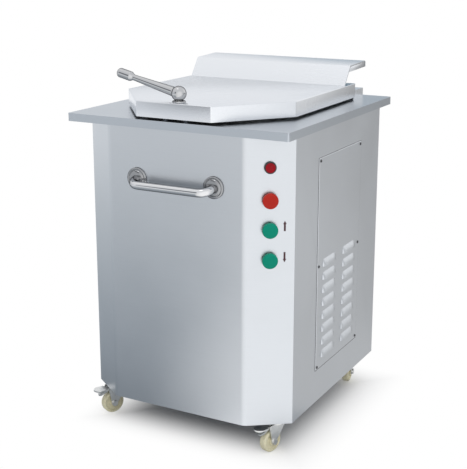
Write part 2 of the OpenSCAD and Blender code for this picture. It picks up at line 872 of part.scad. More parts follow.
module gear_pump() at_motor() color(ZINC) translate([0, 0, tank_top - tank_t - pump_h]) difference() {
    translate([-pump_w / 2, -pump_d / 2, 0]) cube([pump_w, pump_d, pump_h]);
    translate([0, 0, pump_h / 2 - nest]) cylinder(r = motor_shaft_d / 2 + run, h = pump_h);
}

module valve_block() in_body() color(ZINC) translate([0, inner_rear - valve_rear, tank_top]) {
    translate([-valve_w / 2, -valve_d / 2, 0]) cube([valve_w, valve_d, valve_h]);
    both_sides() translate([coil_x, 0, valve_h]) cylinder(d = coil_d, h = coil_h);
}

// Steel pipes from the valve block to the main ram and to both knife cylinders
module pressure_pipes() at_basin() color(ZINC) {
    r = pipe_d / 2;
    start = inner_rear - valve_rear - valve_d / 2 - basin_y;
    ram_stop = ram_d / 2;
    translate([0, ram_stop, ram_pipe_z]) along_y(r, start - ram_stop);
    both_sides() translate([0, 0, pipe_z]) {
        translate([pipe_x, pipe_back + pipe_bend, 0]) along_y(r, start - pipe_back - pipe_bend);
        translate([pipe_x + pipe_bend, pipe_back + pipe_bend, 0]) rotate([0, 0, 180]) elbow(r);
        translate([pipe_x + pipe_bend, pipe_back, 0]) along_x(r, lift_x - pipe_x - 2 * pipe_bend);
        translate([lift_x - pipe_bend, pipe_back - pipe_bend, 0]) elbow(r);
        translate([lift_x, lift_d / 2, 0]) along_y(r, pipe_back - pipe_bend - lift_d / 2);
    }
}

module elbow(r) rotate_extrude(angle = 90) translate([pipe_bend, 0]) circle(r = r);

module control_box() in_body() color(ZINC) {
    low = [-inner_x, box_y - box_d / 2, top_h - box_drop - box_h];
    high = [box_w - inner_x, box_y + box_d / 2, top_h - box_drop];
    wall = [box_t, box_t, box_t];
    difference() {
        span(low, high);
        span(low + wall, high - wall);
        translate([(low.x + high.x) / 2, box_y, low.z - cut]) cylinder(d = box_hole_d, h = box_t + 2 * cut);
    }
}

module cable_gland() in_body() color(BLACK)
    translate([-cable_x, cab_rear, tray_top + cable_up]) difference() {
        inside = panel_t + cable_in;
        union() {
            along_y(gland_d / 2, cable_out);
            translate([0, -inside, 0]) along_y(gland_d / 2 - cable_shoulder, inside);
            translate([0, -inside, 0]) along_y(cable_nut_d / 2, cable_in);
        }
        translate([0, -inside - cut, 0]) along_y(gland_bore / 2, inside + cable_out + 2 * cut);
    }

module hinge_brackets() in_body() color(PALE) both_sides() difference() {
    span([bracket_x - bracket_w, lid_rear + bracket_set, top_h],
        [bracket_x, lid_rear + bracket_set + bracket_d, top_h + bracket_h]);
    translate([bracket_x - bracket_w - cut, hinge_y, hinge_z])
        along_x(shaft_d / 2 + run, bracket_w - shaft_end + cut);
}

module hinge_shaft() in_body() color(BRIGHT) translate([shaft_end + run - bracket_x, hinge_y, hinge_z])
    along_x(shaft_d / 2, bracket_span - 2 * (shaft_end + run));

// Bridge that the spindle's bar drops through and then turns under
module latch_keeper() in_body() color(ZINC) translate([0, lever_y, top_h]) {
    half_x = keeper_side + keeper_wall;
    half_y = tbar_len / 2 + keeper_slot + keeper_lap;
    slot_x = tbar_w / 2 + keeper_slot;
    slot_y = tbar_len / 2 + keeper_slot;
    difference() {
        span([-half_x, -half_y, 0], [half_x, half_y, keeper_room + keeper_t]);
        span([-keeper_side, -half_y - cut, -cut], [keeper_side, half_y + cut, keeper_room]);
        span([-slot_x, -slot_y, 0], [slot_x, slot_y, keeper_room + keeper_t + cut]);
        cylinder(r = spindle_d / 2 + keeper_slot, h = keeper_room + keeper_t + cut);
    }
}

module lid_shell() in_body() color(PALE) difference() {
    translate([0, 0, lid_bottom]) linear_extrude(lid_h) polygon(lid_outline);
    translate([0, 0, lid_bottom - cut]) linear_extrude(lid_h - lid_t + cut)
        polygon(inset(lid_outline, lid_t));
    translate([0, lever_y, lid_top - lid_t - cut]) cylinder(r = bush_d / 2 + nest, h = lid_t + 2 * cut);
}

module lid_press_plate() at_basin() color(WHITE) translate([0, 0, platen_bottom])
    cylinder(r = platen_r, h = platen_t, $fn = 128);

module lid_ribs() in_body() color(ZINC) for (s = rib_shares) translate([s * lid_x, 0, 0])
    span([-rib_t / 2, basin_y - rib_reach, platen_top], [rib_t / 2, lid_rear - lid_t, lid_top - lid_t]);

module lid_hinge_arms() in_body() color(PALE) both_sides()
    translate([(arm_span - arm_w) / 2, 0, 0]) difference() {
        union() {
            rotate([90, 0, 90]) linear_extrude(arm_w) polygon([[lid_rear, lid_bottom],
                [hinge_y, hinge_z - knuckle_r], [hinge_y, hinge_z + knuckle_r],
                [lid_rear, lid_bottom + arm_rise]]);
            translate([0, hinge_y, hinge_z]) along_x(knuckle_r, arm_w);
        }
        translate([-cut, hinge_y, hinge_z]) along_x(shaft_d / 2 + run, arm_w + 2 * cut);
    }

// Bent sheet that leans back from the lid; its flange is turned down at the rear and at both ends
module lid_upstand() in_body() color(PALE) translate([0, lid_rear - upstand_set, lid_top]) {
    t = upstand_t;
    slant = t * norm([upstand_lean, upstand_rise]) / upstand_rise;
    back = upstand_lean + upstand_flange;
    back_z = upstand_rise + flange_rise;
    end_z = upstand_rise - upstand_lip;
    upstand_slice(-upstand_w / 2, upstand_w) polygon([[0, 0], [upstand_lean, upstand_rise],
        [back, back_z], [back, back_z - upstand_lip], [back - t, back_z - upstand_lip],
        [back - t, back_z - t], [lean_at(upstand_rise - t) + slant, upstand_rise - t], [slant, 0]]);
    both_sides() upstand_slice(upstand_w / 2 - t, t) polygon([[upstand_lean, upstand_rise],
        [back, back_z], [back, back_z - upstand_lip], [lean_at(end_z), end_z]]);
}

function lean_at(z) = upstand_lean * z / upstand_rise;

// Extrudes a section of the upstand to the right from a place across the lid
module upstand_slice(x, w) translate([x, 0, 0]) rotate([90, 0, 90]) linear_extrude(w) children();

module lever_bush() in_body() color(ZINC) translate([0, lever_y, lid_top]) difference() {
    union() {
        cylinder(d = bush_flange_d, h = bush_flange_t);
        translate([0, 0, -lid_t]) cylinder(d = bush_d, h = lid_t);
        translate([0, 0, -lid_t - bush_nut_t]) cylinder(d = bush_flange_d, h = bush_nut_t);
    }
    translate([0, 0, -lid_t - bush_nut_t - cut])
        cylinder(r = spindle_d / 2 + run, h = lid_t + bush_nut_t + bush_flange_t + 2 * cut);
}

// Ball, tapered arm and knob; the ball is flat below and takes the spindle
module lever_handle() in_body() color(BRIGHT) translate([0, lever_y, ball_z]) difference() {
    union() {
        sphere(d = ball_d);
        rotate([0, -lever_tilt, 180]) rotate([0, 90, 0]) {
            cylinder(d1 = arm_d_in, d2 = arm_d_out, h = arm_len);
            translate([0, 0, arm_len]) cylinder(d1 = arm_d_out, d2 = knob_d, h = neck_len);
            translate([0, 0, arm_len + neck_len]) cylinder(d = knob_d, h = knob_len - knob_d / 2);
            translate([0, 0, arm_len + neck_len + knob_len - knob_d / 2]) sphere(d = knob_d);
        }
    }
    span([-ball_d, -ball_d, -ball_d], [ball_d, ball_d, bush_flange_t + nest - ball_lift]);
    translate([0, 0, -ball_d]) cylinder(r = spindle_d / 2 + run, h = ball_d + nest);
}

module lock_spindle() in_body() color(ZINC) translate([0, lever_y, 0]) {
    foot = top_h + tbar_low;
    translate([0, 0, foot]) cylinder(d = spindle_d, h = ball_z - foot);
    span([-tbar_w / 2, -tbar_len / 2, foot], [tbar_w / 2, tbar_len / 2, foot + tbar_h]);
}

// Turns its children to the middle of each pad, inner ring first
module at_pads(n, r) for (i = [0 : n - 1])
    rotate([0, 0, (i + 1 / 2) * 360 / n]) translate([r, 0, 0]) children();

module pressing_pads() at_basin() color(WHITE) translate([0, 0, pad_bottom]) {
    edge = knife_t / 2 + knife_gap;
    for (i = [0 : inner_n - 1]) rotate([0, 0, i * 360 / inner_n]) linear_extrude(pad_t)
        polygon(pad_outline(hub_r + knife_gap, ring_r - edge, 360 / inner_n));
    for (i = [0 : outer_n - 1]) rotate([0, 0, i * 360 / outer_n]) linear_extrude(pad_t)
        polygon(pad_outline(ring_r + edge, basin_r - knife_gap, 360 / outer_n));
}

module pad_carrier() at_basin() color(ZINC) {
    translate([0, 0, carrier_bottom]) cylinder(r = carrier_r, h = carrier_t);
    translate([0, 0, carrier_top]) {
        at_pads(inner_n, ring_r * inner_post_share) cylinder(d = post_d, h = pad_bottom - carrier_top);
        at_pads(outer_n, ring_r + (basin_r - ring_r) * outer_post_share)
            cylinder(d = post_d, h = pad_bottom - carrier_top);
    }
}

// Rod with its piston, from a foot above the barrel's floor
module piston_rod(barrel_d, wall, rod_d, top) {
    foot = plate_top + piston_up;
    translate([0, 0, foot]) cylinder(r = barrel_d / 2 - wall, h = piston_t);
    translate([0, 0, foot]) cylinder(d = rod_d, h = top - foot);
}

module ram_rod() at_basin() color(BRIGHT) piston_rod(ram_d, ram_t, ram_rod_d, carrier_bottom);

module knife_blades() at_basin() color(BRIGHT) translate([0, 0, knife_bottom]) {
    h = knife_top - knife_bottom;
    ring_in = ring_r - knife_t / 2 - blade_gap;
    ring_out = ring_r + knife_t / 2 + blade_gap;
    cylinder(r = hub_r, h = h);
    for (i = [0 : inner_n - 1]) rotate([0, 0, i * 360 / inner_n]) blade(hub_r + blade_gap, ring_in, h);
    for (i = [0 : outer_n - 1]) rotate([0, 0, i * 360 / outer_n]) blade(ring_out, basin_r - knife_gap, h);
}

module blade(r_in, r_out, h) span([r_in, -knife_t / 2, 0], [r_out, knife_t / 2, h]);

module ring_knife() at_basin() color(BRIGHT) translate([0, 0, knife_bottom])
    ring(ring_r - knife_t / 2, ring_r + knife_t / 2, knife_top - knife_bottom);

// Ring under the outer knives, on the rods of the two knife cylinders
module knife_carrier() at_basin() color(ZINC) {
    translate([0, 0, knife_bottom - carrier_t]) ring(knife_ring_in, knife_ring_out, carrier_t);
    at_lifts() piston_rod(lift_d, lift_t, lift_rod_d, knife_bottom - carrier_t);
}

// Kingpins: front left, front right, rear left, rear right
kingpins = [[-kingpin_x, kingpin_front], [kingpin_x, kingpin_front],
    [-kingpin_x, kingpin_rear], [kingpin_x, kingpin_rear]];

module at_caster(i) in_body() translate([kingpins[i].x, kingpins[i].y, 0]) children();
module in_fork(i) at_caster(i) rotate([0, 0, caster_headings[i]]) children();

module caster_plates() color(ZINC) for (i = [0 : 3]) at_caster(i) {
    translate([-caster_plate_w / 2, -caster_plate_d / 2, caster_h - caster_plate_t])
        cube([caster_plate_w, caster_plate_d, caster_plate_t]);
    translate([0, 0, caster_h - caster_plate_t - race_t]) cylinder(d = race_d, h = race_t);
    low = crown_bottom - swivel_gap - rivet_t;
    translate([0, 0, low]) cylinder(d = kingpin_d, h = caster_h - low);
    translate([0, 0, low]) cylinder(d = rivet_d, h = rivet_t);
}

// Outline of a fork leg: forward is the trail's direction and upward is +Z
module fork_leg() {
    polygon([[-fork_back, crown_top], [-fork_back, crown_bottom], [trail - boss_r, axle_z],
        [trail + boss_r, axle_z], [fork_ear, crown_top - fork_ear_h], [fork_ear, crown_top]]);
    translate([trail, axle_z]) circle(r = boss_r);
}

// Fork, its axle bolt and, beside a brake, the pedal's pin
module fork(i, braked) in_fork(i) color(ZINC) {
    difference() {
        union() {
            translate([0, 0, crown_bottom]) cylinder(d = crown_d, h = crown_t);
            for (s = [-1, 1]) translate([0, s * (fork_in + fork_t / 2) + fork_t / 2, 0]) rotate([90, 0, 0])
                linear_extrude(fork_t) fork_leg();
        }
        translate([0, 0, crown_bottom - cut]) cylinder(r = kingpin_d / 2 + run, h = crown_t + 2 * cut);
        translate([trail, -fork_out - cut, axle_z]) along_y(axle_d / 2 + run, 2 * (fork_out + cut));
        if (braked) at_pedal_pin() translate([0, -fork_out - cut, 0])
            along_y(pedal_pin_d / 2 + run, 2 * (fork_out + cut));
    }
    translate([trail, -fork_out - axle_head_t, axle_z]) along_y(axle_d / 2, 2 * (fork_out + axle_head_t));
    for (s = [-1, 1]) translate([trail, s * (fork_out + axle_head_t / 2) - axle_head_t / 2, axle_z])
        along_y(axle_head_d / 2, axle_head_t);
    if (braked) at_pedal_pin() translate([0, -fork_out, 0]) along_y(pedal_pin_d / 2, 2 * fork_out);
}

module at_pedal_pin() translate([pedal_pin_x, 0, crown_top - pedal_pin_drop]) children();

module fork_front_left() fork(0, true);
module fork_front_right() fork(1, true);
module fork_rear_left() fork(2, false);
module fork_rear_right() fork(3, false);

// Half of a wheel's section, from the bore to the tread and back along the dished side
module wheel_section() {
    half = wheel_w / 2;
    hub_half = half + hub_side;
    r = wheel_d / 2;
    rim_r = r * wheel_rim_share;
    side = [[wheel_hub_r, hub_half], [wheel_hub_r, half - wheel_dish], [rim_r, half - wheel_dish],
        [rim_r, half], [r - wheel_round, half]];
    edge_mid = [r - wheel_round, half - wheel_round];
    round_edge = [for (i = [1 : bend_steps]) edge_mid + arc(wheel_round, 90, 0, bend_steps)[i]];
    upper = concat([[axle_d / 2 + run, hub_half]], side, round_edge);
    polygon(concat(upper, [for (p = backwards(upper)) [p.x, -p.y]]));
}

module wheel(i) in_fork(i) color(CREAM) translate([trail, 0, axle_z]) rotate([90, 0, 0])
    rotate_extrude() wheel_section();

module wheel_front_left() wheel(0);
module wheel_front_right() wheel(1);
module wheel_rear_left() wheel(2);
module wheel_rear_right() wheel(3);

// Brake pedal: a barrel on the pin, a wide tongue to press and a steeper one below it to release
module pedal(i) in_fork(i) color(ZINC) at_pedal_pin() difference() {
    half = fork_in - pedal_side_gap;
    union() {
        translate([0, -half, 0]) along_y(pedal_barrel_r, 2 * half);
        tongue(pedal_len, pedal_w, pedal_slope);
        tongue(release_len, release_w, release_slope);
    }
    translate([0, -half - cut, 0]) along_y(pedal_pin_d / 2 + run, 2 * (half + cut));
}

// Flat tongue that runs outwards from the pin at a slope and ends round, with a neck between the legs
module tongue(reach, w, slope) rotate([0, slope, 0]) linear_extrude(pedal_t) {
    neck = min(fork_in - pedal_side_gap, w / 2);
    translate([0, -neck]) square([reach - w / 2, 2 * neck]);
    translate([pedal_tread, -w / 2]) square([reach - w / 2 - pedal_tread, w]);
    translate([reach - w / 2, 0]) circle(d = w);
}

module pedal_front_left() pedal(0);
module pedal_front_right() pedal(1);

base_frame();
floor_tray();
frame_posts();
front_panel();
left_panel();
right_panel();
rear_panel();
access_panel();
access_screws();
tabletop();
handle_bar();
handle_rosettes();
control_bezels();
lamp_lens();
switch_blocks();
stop_button();
up_button();
down_button();
press_plates();
tie_rods();
basin();
ram_barrel();
ram_gland();
knife_cylinders();
oil_tank();
motor_housing();
motor_rotor();
gear_pump();
valve_block();
pressure_pipes();
control_box();
cable_gland();
hinge_brackets();
hinge_shaft();
latch_keeper();
lid_shell();
lid_press_plate();
lid_ribs();
lid_hinge_arms();
lid_upstand();
lever_bush();
lever_handle();
lock_spindle();
pressing_pads();
pad_carrier();
ram_rod();
knife_blades();
ring_knife();
knife_carrier();
caster_plates();
fork_front_left();
fork_front_right();
fork_rear_left();
fork_rear_right();
wheel_front_left();
wheel_front_right();
wheel_rear_left();
wheel_rear_right();
pedal_front_left();
pedal_front_right();
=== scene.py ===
import math

import bmesh
import bpy
from mathutils import Matrix, Vector


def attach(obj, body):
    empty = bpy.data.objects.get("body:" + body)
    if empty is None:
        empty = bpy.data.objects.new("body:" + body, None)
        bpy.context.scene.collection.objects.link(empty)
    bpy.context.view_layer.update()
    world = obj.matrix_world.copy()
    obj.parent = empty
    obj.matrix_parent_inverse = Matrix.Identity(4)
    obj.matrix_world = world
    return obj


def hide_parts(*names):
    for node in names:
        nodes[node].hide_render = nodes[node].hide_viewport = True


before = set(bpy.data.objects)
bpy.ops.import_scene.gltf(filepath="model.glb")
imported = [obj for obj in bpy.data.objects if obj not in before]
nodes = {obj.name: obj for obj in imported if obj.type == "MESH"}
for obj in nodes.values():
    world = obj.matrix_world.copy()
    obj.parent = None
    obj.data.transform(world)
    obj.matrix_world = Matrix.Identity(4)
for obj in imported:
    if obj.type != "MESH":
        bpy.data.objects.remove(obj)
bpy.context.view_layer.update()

MM = 0.001

# Sizes shared with the solids, in millimetres, with the tabletop's middle at x 0 and y TABLE_Y
TABLE_Y = 19.75
TOP = 875.0
CAB_X = 305.5
CAB_FRONT = -339.0
CAB_BOTTOM = 88.0
PANEL_T = 1.5
CHAMFER_W = 104.6
CHAMFER_D = 74.3
CHAMFER = math.atan2(CHAMFER_D, CHAMFER_W)
BEND_R = 28.0
LID_X = 255.7
LID_FRONT = -343.5
LID_REAR = 238.0
LID_CHAMFER = (146.0, 183.0)
LID_BOTTOM = TOP + 7.0
LID_TOP = TOP + 47.2
LEVER_Y = LID_FRONT + 30.5
BALL_Z = LID_TOP + 21.4
LEVER_TILT = math.radians(13.7)
HANDLE_Z = TOP - 157.0
HANDLE_X = 114.0
HANDLE_REACH = 37.0
HANDLE_SAG = 9.0
HANDLE_TILT = math.atan2(HANDLE_SAG, HANDLE_REACH)
CONTROL_Z = {"lamp": TOP - 98.6, "stop": TOP - 181.4, "raise": TOP - 257.5, "lower": TOP - 336.2}
HEADINGS = {"front_left": -120.0, "front_right": -107.0, "rear_left": -75.0, "rear_right": 100.0}
KINGPINS = {"front_left": (-252.0, -255.0), "front_right": (252.0, -255.0),
            "rear_left": (-252.0, 235.0), "rear_right": (252.0, 235.0)}
TRAIL = 20.0
AXLE_Z = 31.5


# Materials
def node_adder(tree):
    """A function that adds a node to a tree, links its inputs and sets its other values."""
    def add(kind, links=None, **values):
        n = tree.nodes.new(kind)
        for key, value in values.items():
            if hasattr(n, key):
                setattr(n, key, value)
            else:
                n.inputs[key.replace("_", " ")].default_value = value
        for key, socket in (links or {}).items():
            tree.links.new(socket, n.inputs[key])
        return n

    return add


def shade(name, metallic=0.0, roughness=0.4, **sockets):
    """A material with its shader, node tree and a function that adds linked nodes."""
    m = bpy.data.materials.new(name)
    m.use_nodes = True
    tree = m.node_tree
    shader = tree.nodes["Principled BSDF"]
    shader.inputs["Metallic"].default_value = metallic
    shader.inputs["Roughness"].default_value = roughness
    for key, value in sockets.items():
        shader.inputs[key.replace("_", " ")].default_value = value

    return m, tree, shader, node_adder(tree)


def stretched_noise(add, scale, freq, detail=4.0):
    """Noise in the object's own coordinates, stretched by scale."""
    coord = add("ShaderNodeTexCoord")
    mapping = add("ShaderNodeMapping", {"Vector": coord.outputs["Object"]}, Scale=scale)
    return add("ShaderNodeTexNoise", {"Vector": mapping.outputs[0]}, Scale=freq, Detail=detail)


def ramp(add, factor, stops):
    n = add("ShaderNodeValToRGB", {"Fac": factor})
    cr = n.color_ramp
    for i, (pos, col) in enumerate(stops):
        e = cr.elements[i] if i < 2 else cr.elements.new(pos)
        e.position = pos
        e.color = (*col, 1.0)
    return n


def tint(c, k):
    return tuple(min(1.0, v * k) for v in c)


GRAIN_SHARE = 0.35
BLOTCH_DETAIL, GRAIN_DETAIL = 5.0, 3.0
NOISE_SPAN = (0.3, 0.7)


def surface(name, colour, spread, rough, metallic=0.0, blotch=7.0, grain=(1, 1, 1), grain_freq=600.0,
            bump=0.1, bump_mm=0.05, **sockets):
    """Colour that varies in soft blotches, roughness that varies with them, and a fine grain as bump."""
    m, tree, shader, add = shade(name, metallic, rough[0], **sockets)
    soft = stretched_noise(add, (1, 1, 1), blotch, BLOTCH_DETAIL)
    fine = stretched_noise(add, grain, grain_freq, GRAIN_DETAIL)
    both = add("ShaderNodeMix", {2: soft.outputs["Fac"], 3: fine.outputs["Fac"]}, data_type="FLOAT")
    both.inputs[0].default_value = GRAIN_SHARE
    low, high = NOISE_SPAN
    col = ramp(add, both.outputs[0], [(low, tint(colour, 1 - spread)), (high, tint(colour, 1 + spread))])
    tree.links.new(col.outputs["Color"], shader.inputs["Base Color"])
    r = add("ShaderNodeMapRange", {0: both.outputs[0]})
    for i, v in zip((1, 2, 3, 4), (low, high, *rough)):
        r.inputs[i].default_value = v
    tree.links.new(r.outputs[0], shader.inputs["Roughness"])
    b = add("ShaderNodeBump", {"Height": fine.outputs["Fac"]}, Strength=bump, Distance=bump_mm * MM)
    tree.links.new(b.outputs[0], shader.inputs["Normal"])
    return m


GRAIN_STRETCH = 0.012
SHEET_GRAIN = 900.0
SHEET_BUMP_MM = 0.02


def brushed(name, colour, rough, along, spread=0.03, bump=0.12, **sockets):
    """Sheet metal with a fine grain along x, y or z."""
    grain = [GRAIN_STRETCH if axis in along else 1.0 for axis in "xyz"]
    return surface(name, colour, spread, rough, metallic=1.0, grain=grain, grain_freq=SHEET_GRAIN, bump=bump,
                   bump_mm=SHEET_BUMP_MM, **sockets)


SKIN = (0.59, 0.615, 0.645)
TABLE = (0.47, 0.505, 0.545)
LID = (0.725, 0.745, 0.775)
# Painted shade: a near-black edge tint that darkens the chrome and the steel where they are seen edge-on
EDGE_SHADE_TINT = (0.03, 0.03, 0.035, 1.0)
M_skin = brushed("satin_steel", SKIN, (0.30, 0.38), "xy")
M_top = brushed("polished_sheet", TABLE, (0.27, 0.33), "x", spread=0.02, bump=0.03)
M_lid = brushed("bright_sheet", LID, (0.26, 0.28), "x", spread=0.008, bump=0.006)
M_chrome = surface("chrome", (0.50, 0.505, 0.515), 0.02, (0.03, 0.06), metallic=1.0, blotch=25.0,
                   bump=0.01, Specular_Tint=EDGE_SHADE_TINT)
# Painted light: a lighter copy of the chrome for the grab bar, standing for the brighter light it takes
M_lit_chrome = surface("lit_bar_chrome", (0.64, 0.645, 0.655), 0.02, (0.05, 0.08), metallic=1.0, blotch=25.0,
                bump=0.01, Specular_Tint=EDGE_SHADE_TINT)
# Painted shade: a darker copy of the chrome for the rosettes, standing for the darker reflections they take
M_shaded_chrome = surface("shaded_rosette_chrome", (0.31, 0.315, 0.325), 0.03, (0.09, 0.15), metallic=1.0, blotch=40.0,
                 bump=0.02, Specular_Tint=EDGE_SHADE_TINT)
# Painted shade: the screws' steel is made dark to stand for the shade on their heads
M_screw = surface("shaded_screw_steel", (0.10, 0.10, 0.105), 0.15, (0.22, 0.34), metallic=1.0, blotch=200.0,
                  grain_freq=1500.0, bump=0.1)
M_zinc = surface("zinc_plate", (0.74, 0.745, 0.735), 0.10, (0.32, 0.46), metallic=1.0, blotch=90.0,
                 grain_freq=1500.0, bump=0.15)
M_knife = brushed("ground_steel", (0.66, 0.67, 0.69), (0.18, 0.26), "xy")
M_frame = surface("frame_paint", (0.11, 0.125, 0.15), 0.12, (0.42, 0.55), blotch=20.0, grain_freq=900.0,
                  bump=0.25)
M_tank = surface("tank_paint", (0.10, 0.16, 0.25), 0.10, (0.36, 0.48), blotch=20.0, grain_freq=900.0,
                 bump=0.25)
M_brass = surface("brass", (0.72, 0.53, 0.25), 0.06, (0.20, 0.32), metallic=1.0, blotch=60.0)
M_black = surface("black_plastic", (0.018, 0.018, 0.02), 0.2, (0.36, 0.48), blotch=60.0,
                  grain_freq=1800.0, bump=0.3)
M_red = surface("red_plastic", (0.40, 0.022, 0.014), 0.07, (0.30, 0.38), blotch=70.0, grain_freq=1800.0,
                bump=0.1, Specular_IOR_Level=0.1)
M_green = surface("green_plastic", (0.002, 0.228, 0.15), 0.07, (0.30, 0.38), blotch=70.0, grain_freq=1800.0,
                  bump=0.1, Specular_IOR_Level=0.1)
M_nylon = surface("nylon", (0.66, 0.62, 0.44), 0.07, (0.38, 0.5), blotch=80.0, grain_freq=1500.0, bump=0.2,
                  Subsurface_Weight=0.08, Subsurface_Radius=(0.004, 0.003, 0.002))
M_pad = surface("food_plastic", (0.82, 0.82, 0.79), 0.03, (0.34, 0.44), blotch=40.0, grain_freq=1500.0,
                bump=0.15)
M_lamp = surface("lamp_lens", (0.34, 0.005, 0.012), 0.10, (0.10, 0.16), blotch=120.0, bump=0.02,
                 Transmission_Weight=0.15, Specular_IOR_Level=0.05)
M_mark = surface("arrow_paint", (0.05, 0.012, 0.018), 0.12, (0.5, 0.6), blotch=200.0, bump=0.1)


# Meshes
def place(point):
    """A point given from the tabletop's middle, in millimetres, as metres in the row frame."""
    x, y, z = point
    return Vector((x, y + TABLE_Y, z)) * MM


def frame_at(point, x_axis, z_axis):
    """Matrix from local millimetres to the row frame, with its origin at a point and two of its axes."""
    zv = Vector(z_axis).normalized()
    xv = Vector(x_axis)
    xv = (xv - zv * xv.dot(zv)).normalized()
    yv = zv.cross(xv)
    m = Matrix((xv, yv, zv)).transposed().to_4x4()
    m.translation = place(point)
    return m @ Matrix.Scale(MM, 4)


def on_chamfer(z):
    mid = (CAB_X - CHAMFER_W / 2, CAB_FRONT + CHAMFER_D / 2, z)
    along = (math.cos(CHAMFER), math.sin(CHAMFER), 0)
    out = (math.sin(CHAMFER), -math.cos(CHAMFER), 0)
    return frame_at(mid, along, out)


def in_fork(corner, point=(0, 0, 0)):
    """Frame of a castor's fork: x along the trail, z up, origin at a point of it."""
    a = math.radians(HEADINGS[corner])
    d = Vector((math.cos(a), math.sin(a), 0))
    k = KINGPINS[corner]
    base = frame_at((k[0], k[1], 0), d, (0, 0, 1))
    return base @ Matrix.Translation(Vector(point))


def finish_piece(name, bm, body, material, stands_for=(), matrix=None, angle=35.0):
    """Turns a bmesh in local millimetres into a piece that rides on a body."""
    if matrix is not None:
        bm.transform(matrix)
    bmesh.ops.recalc_face_normals(bm, faces=bm.faces)
    mesh = bpy.data.meshes.new(name)
    bm.to_mesh(mesh)
    bm.free()
    mesh.shade_smooth()
    mesh.set_sharp_from_angle(angle=math.radians(angle))
    o = bpy.data.objects.new(name, mesh)
    bpy.context.scene.collection.objects.link(o)
    mesh.materials.append(material)
    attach(o, body)
    if stands_for:
        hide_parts(*stands_for)
    return o


def rounded(points, radii, steps=5):
    """A polyline whose corners are rounded with the given radii."""
    out = []
    for i, (p, r) in enumerate(zip(points, radii)):
        if r <= 0 or i in (0, len(points) - 1):
            out.append(p)
            continue
        v, a, b = Vector(p), Vector(points[i - 1]), Vector(points[i + 1])
        da, db = (a - v).normalized(), (b - v).normalized()
        half = da.angle(db) / 2
        reach = r / math.tan(half)
        centre = v + (da + db).normalized() * (r / math.sin(half))
        p0, p1 = v + da * reach - centre, v + db * reach - centre
        for k in range(steps + 1):
            q = p0.lerp(p1, k / steps).normalized() * r
            out.append(tuple(centre + q))
    return out


def arc(cx, cy, r, a0, a1, steps):
    return [(cx + r * math.cos(math.radians(a0 + (a1 - a0) * i / steps)),
             cy + r * math.sin(math.radians(a0 + (a1 - a0) * i / steps))) for i in range(steps + 1)]


ON_AXIS = 1e-6


def lathe(bm, profile, segments=64, matrix=None):
    """Spins (radius, height) points about z; a radius of 0 closes the end."""
    rings = []
    for r, z in profile:
        if r < ON_AXIS:
            rings.append([bm.verts.new((0, 0, z))])
        else:
            rings.append([bm.verts.new((r * math.cos(t), r * math.sin(t), z))
                          for t in (2 * math.pi * i / segments for i in range(segments))])
    made = [v for ring in rings for v in ring]
    for a, b in zip(rings, rings[1:]):
        for i in range(segments):
            j = (i + 1) % segments
            quad = [a[i % len(a)], a[j % len(a)], b[j % len(b)], b[i % len(b)]]
            quad = list(dict.fromkeys(quad))
            if len(quad) > 2:
                bm.faces.new(quad)
    if matrix is not None:
        bmesh.ops.transform(bm, matrix=matrix, verts=made)
    return made


def closed_ring(bm, profile, segments=64, matrix=None):
    """Spins a closed (radius, height) outline about z."""
    return lathe(bm, list(profile) + [profile[0]], segments, matrix)


def sheet(bm, line, low, high, thickness):
    """A folded sheet: a 2-D line drawn in x and y, raised from low to high and thickened to its left."""
    a = [bm.verts.new((x, y, low)) for x, y in line]
    b = [bm.verts.new((x, y, high)) for x, y in line]
    faces = [bm.faces.new((a[i], a[i + 1], b[i + 1], b[i])) for i in range(len(line) - 1)]
    thicken(bm, faces, thickness)


def thicken(bm, faces, thickness):
    bm.normal_update()
    bmesh.ops.solidify(bm, geom=faces, thickness=thickness)


def cut_flat(bm, point, way):
    """Cuts off what lies beyond a plane and closes the cut."""
    whole = bm.verts[:] + bm.edges[:] + bm.faces[:]
    bmesh.ops.bisect_plane(bm, geom=whole, plane_co=point, plane_no=way, clear_outer=True)
    bmesh.ops.holes_fill(bm, edges=[e for e in bm.edges if e.is_boundary])


def prism(bm, outline, low, high, bevel=0.0, segments=2):
    """A closed outline in x and y, raised from low to high, with its edges bevelled."""
    base = [bm.verts.new((x, y, low)) for x, y in outline]
    face = bm.faces.new(base)
    top = bmesh.ops.extrude_face_region(bm, geom=[face])["geom"]
    moved = [g for g in top if isinstance(g, bmesh.types.BMVert)]
    bmesh.ops.translate(bm, verts=moved, vec=(0, 0, high - low))
    if bevel:
        made = set(base) | set(moved)
        edges = [e for e in bm.edges if e.verts[0] in made and e.verts[1] in made]
        bmesh.ops.bevel(bm, geom=edges, offset=bevel, segments=segments, profile=0.5, affect="EDGES")


WELD_LIMIT = 1e-5
EDGE_ANGLE = math.radians(40)


def dress(material, *names, bevel=0.0):
    """Gives carried-over solids their material and, where it shows, a small edge round."""
    for n in names:
        o = nodes[n]
        for s in o.material_slots:
            s.material = material
        if bevel:
            w = o.modifiers.new("weld", "WELD")
            w.merge_threshold = WELD_LIMIT
            b = o.modifiers.new("edges", "BEVEL")
            b.width = bevel * MM
            b.segments = 2
            b.limit_method = "ANGLE"
            b.angle_limit = EDGE_ANGLE


# Cabinet skin
UPRIGHT = frame_at((0, 0, 0), (1, 0, 0), (0, 0, 1))
SKIN_GAP = 3.0
BEND_STEPS = 12


def front_line():
    """Outer line of the front panel from the left chamfer's edge to the right one's."""
    cx = CAB_X - CHAMFER_W - BEND_R * math.tan(CHAMFER / 2)
    half = arc(cx, CAB_FRONT + BEND_R, BEND_R, -90, math.degrees(CHAMFER) - 90, BEND_STEPS)
    half += [(CAB_X, CAB_FRONT + CHAMFER_D)]
    return [(-x, y) for x, y in reversed(half)] + half


bm = bmesh.new()
sheet(bm, front_line(), CAB_BOTTOM, TOP - SKIN_GAP, PANEL_T)
finish_piece("front_skin", bm, "chassis", M_skin, ["front_panel"], matrix=UPRIGHT)
dress(M_skin, "left_panel", "right_panel", "rear_panel", bevel=0.35)

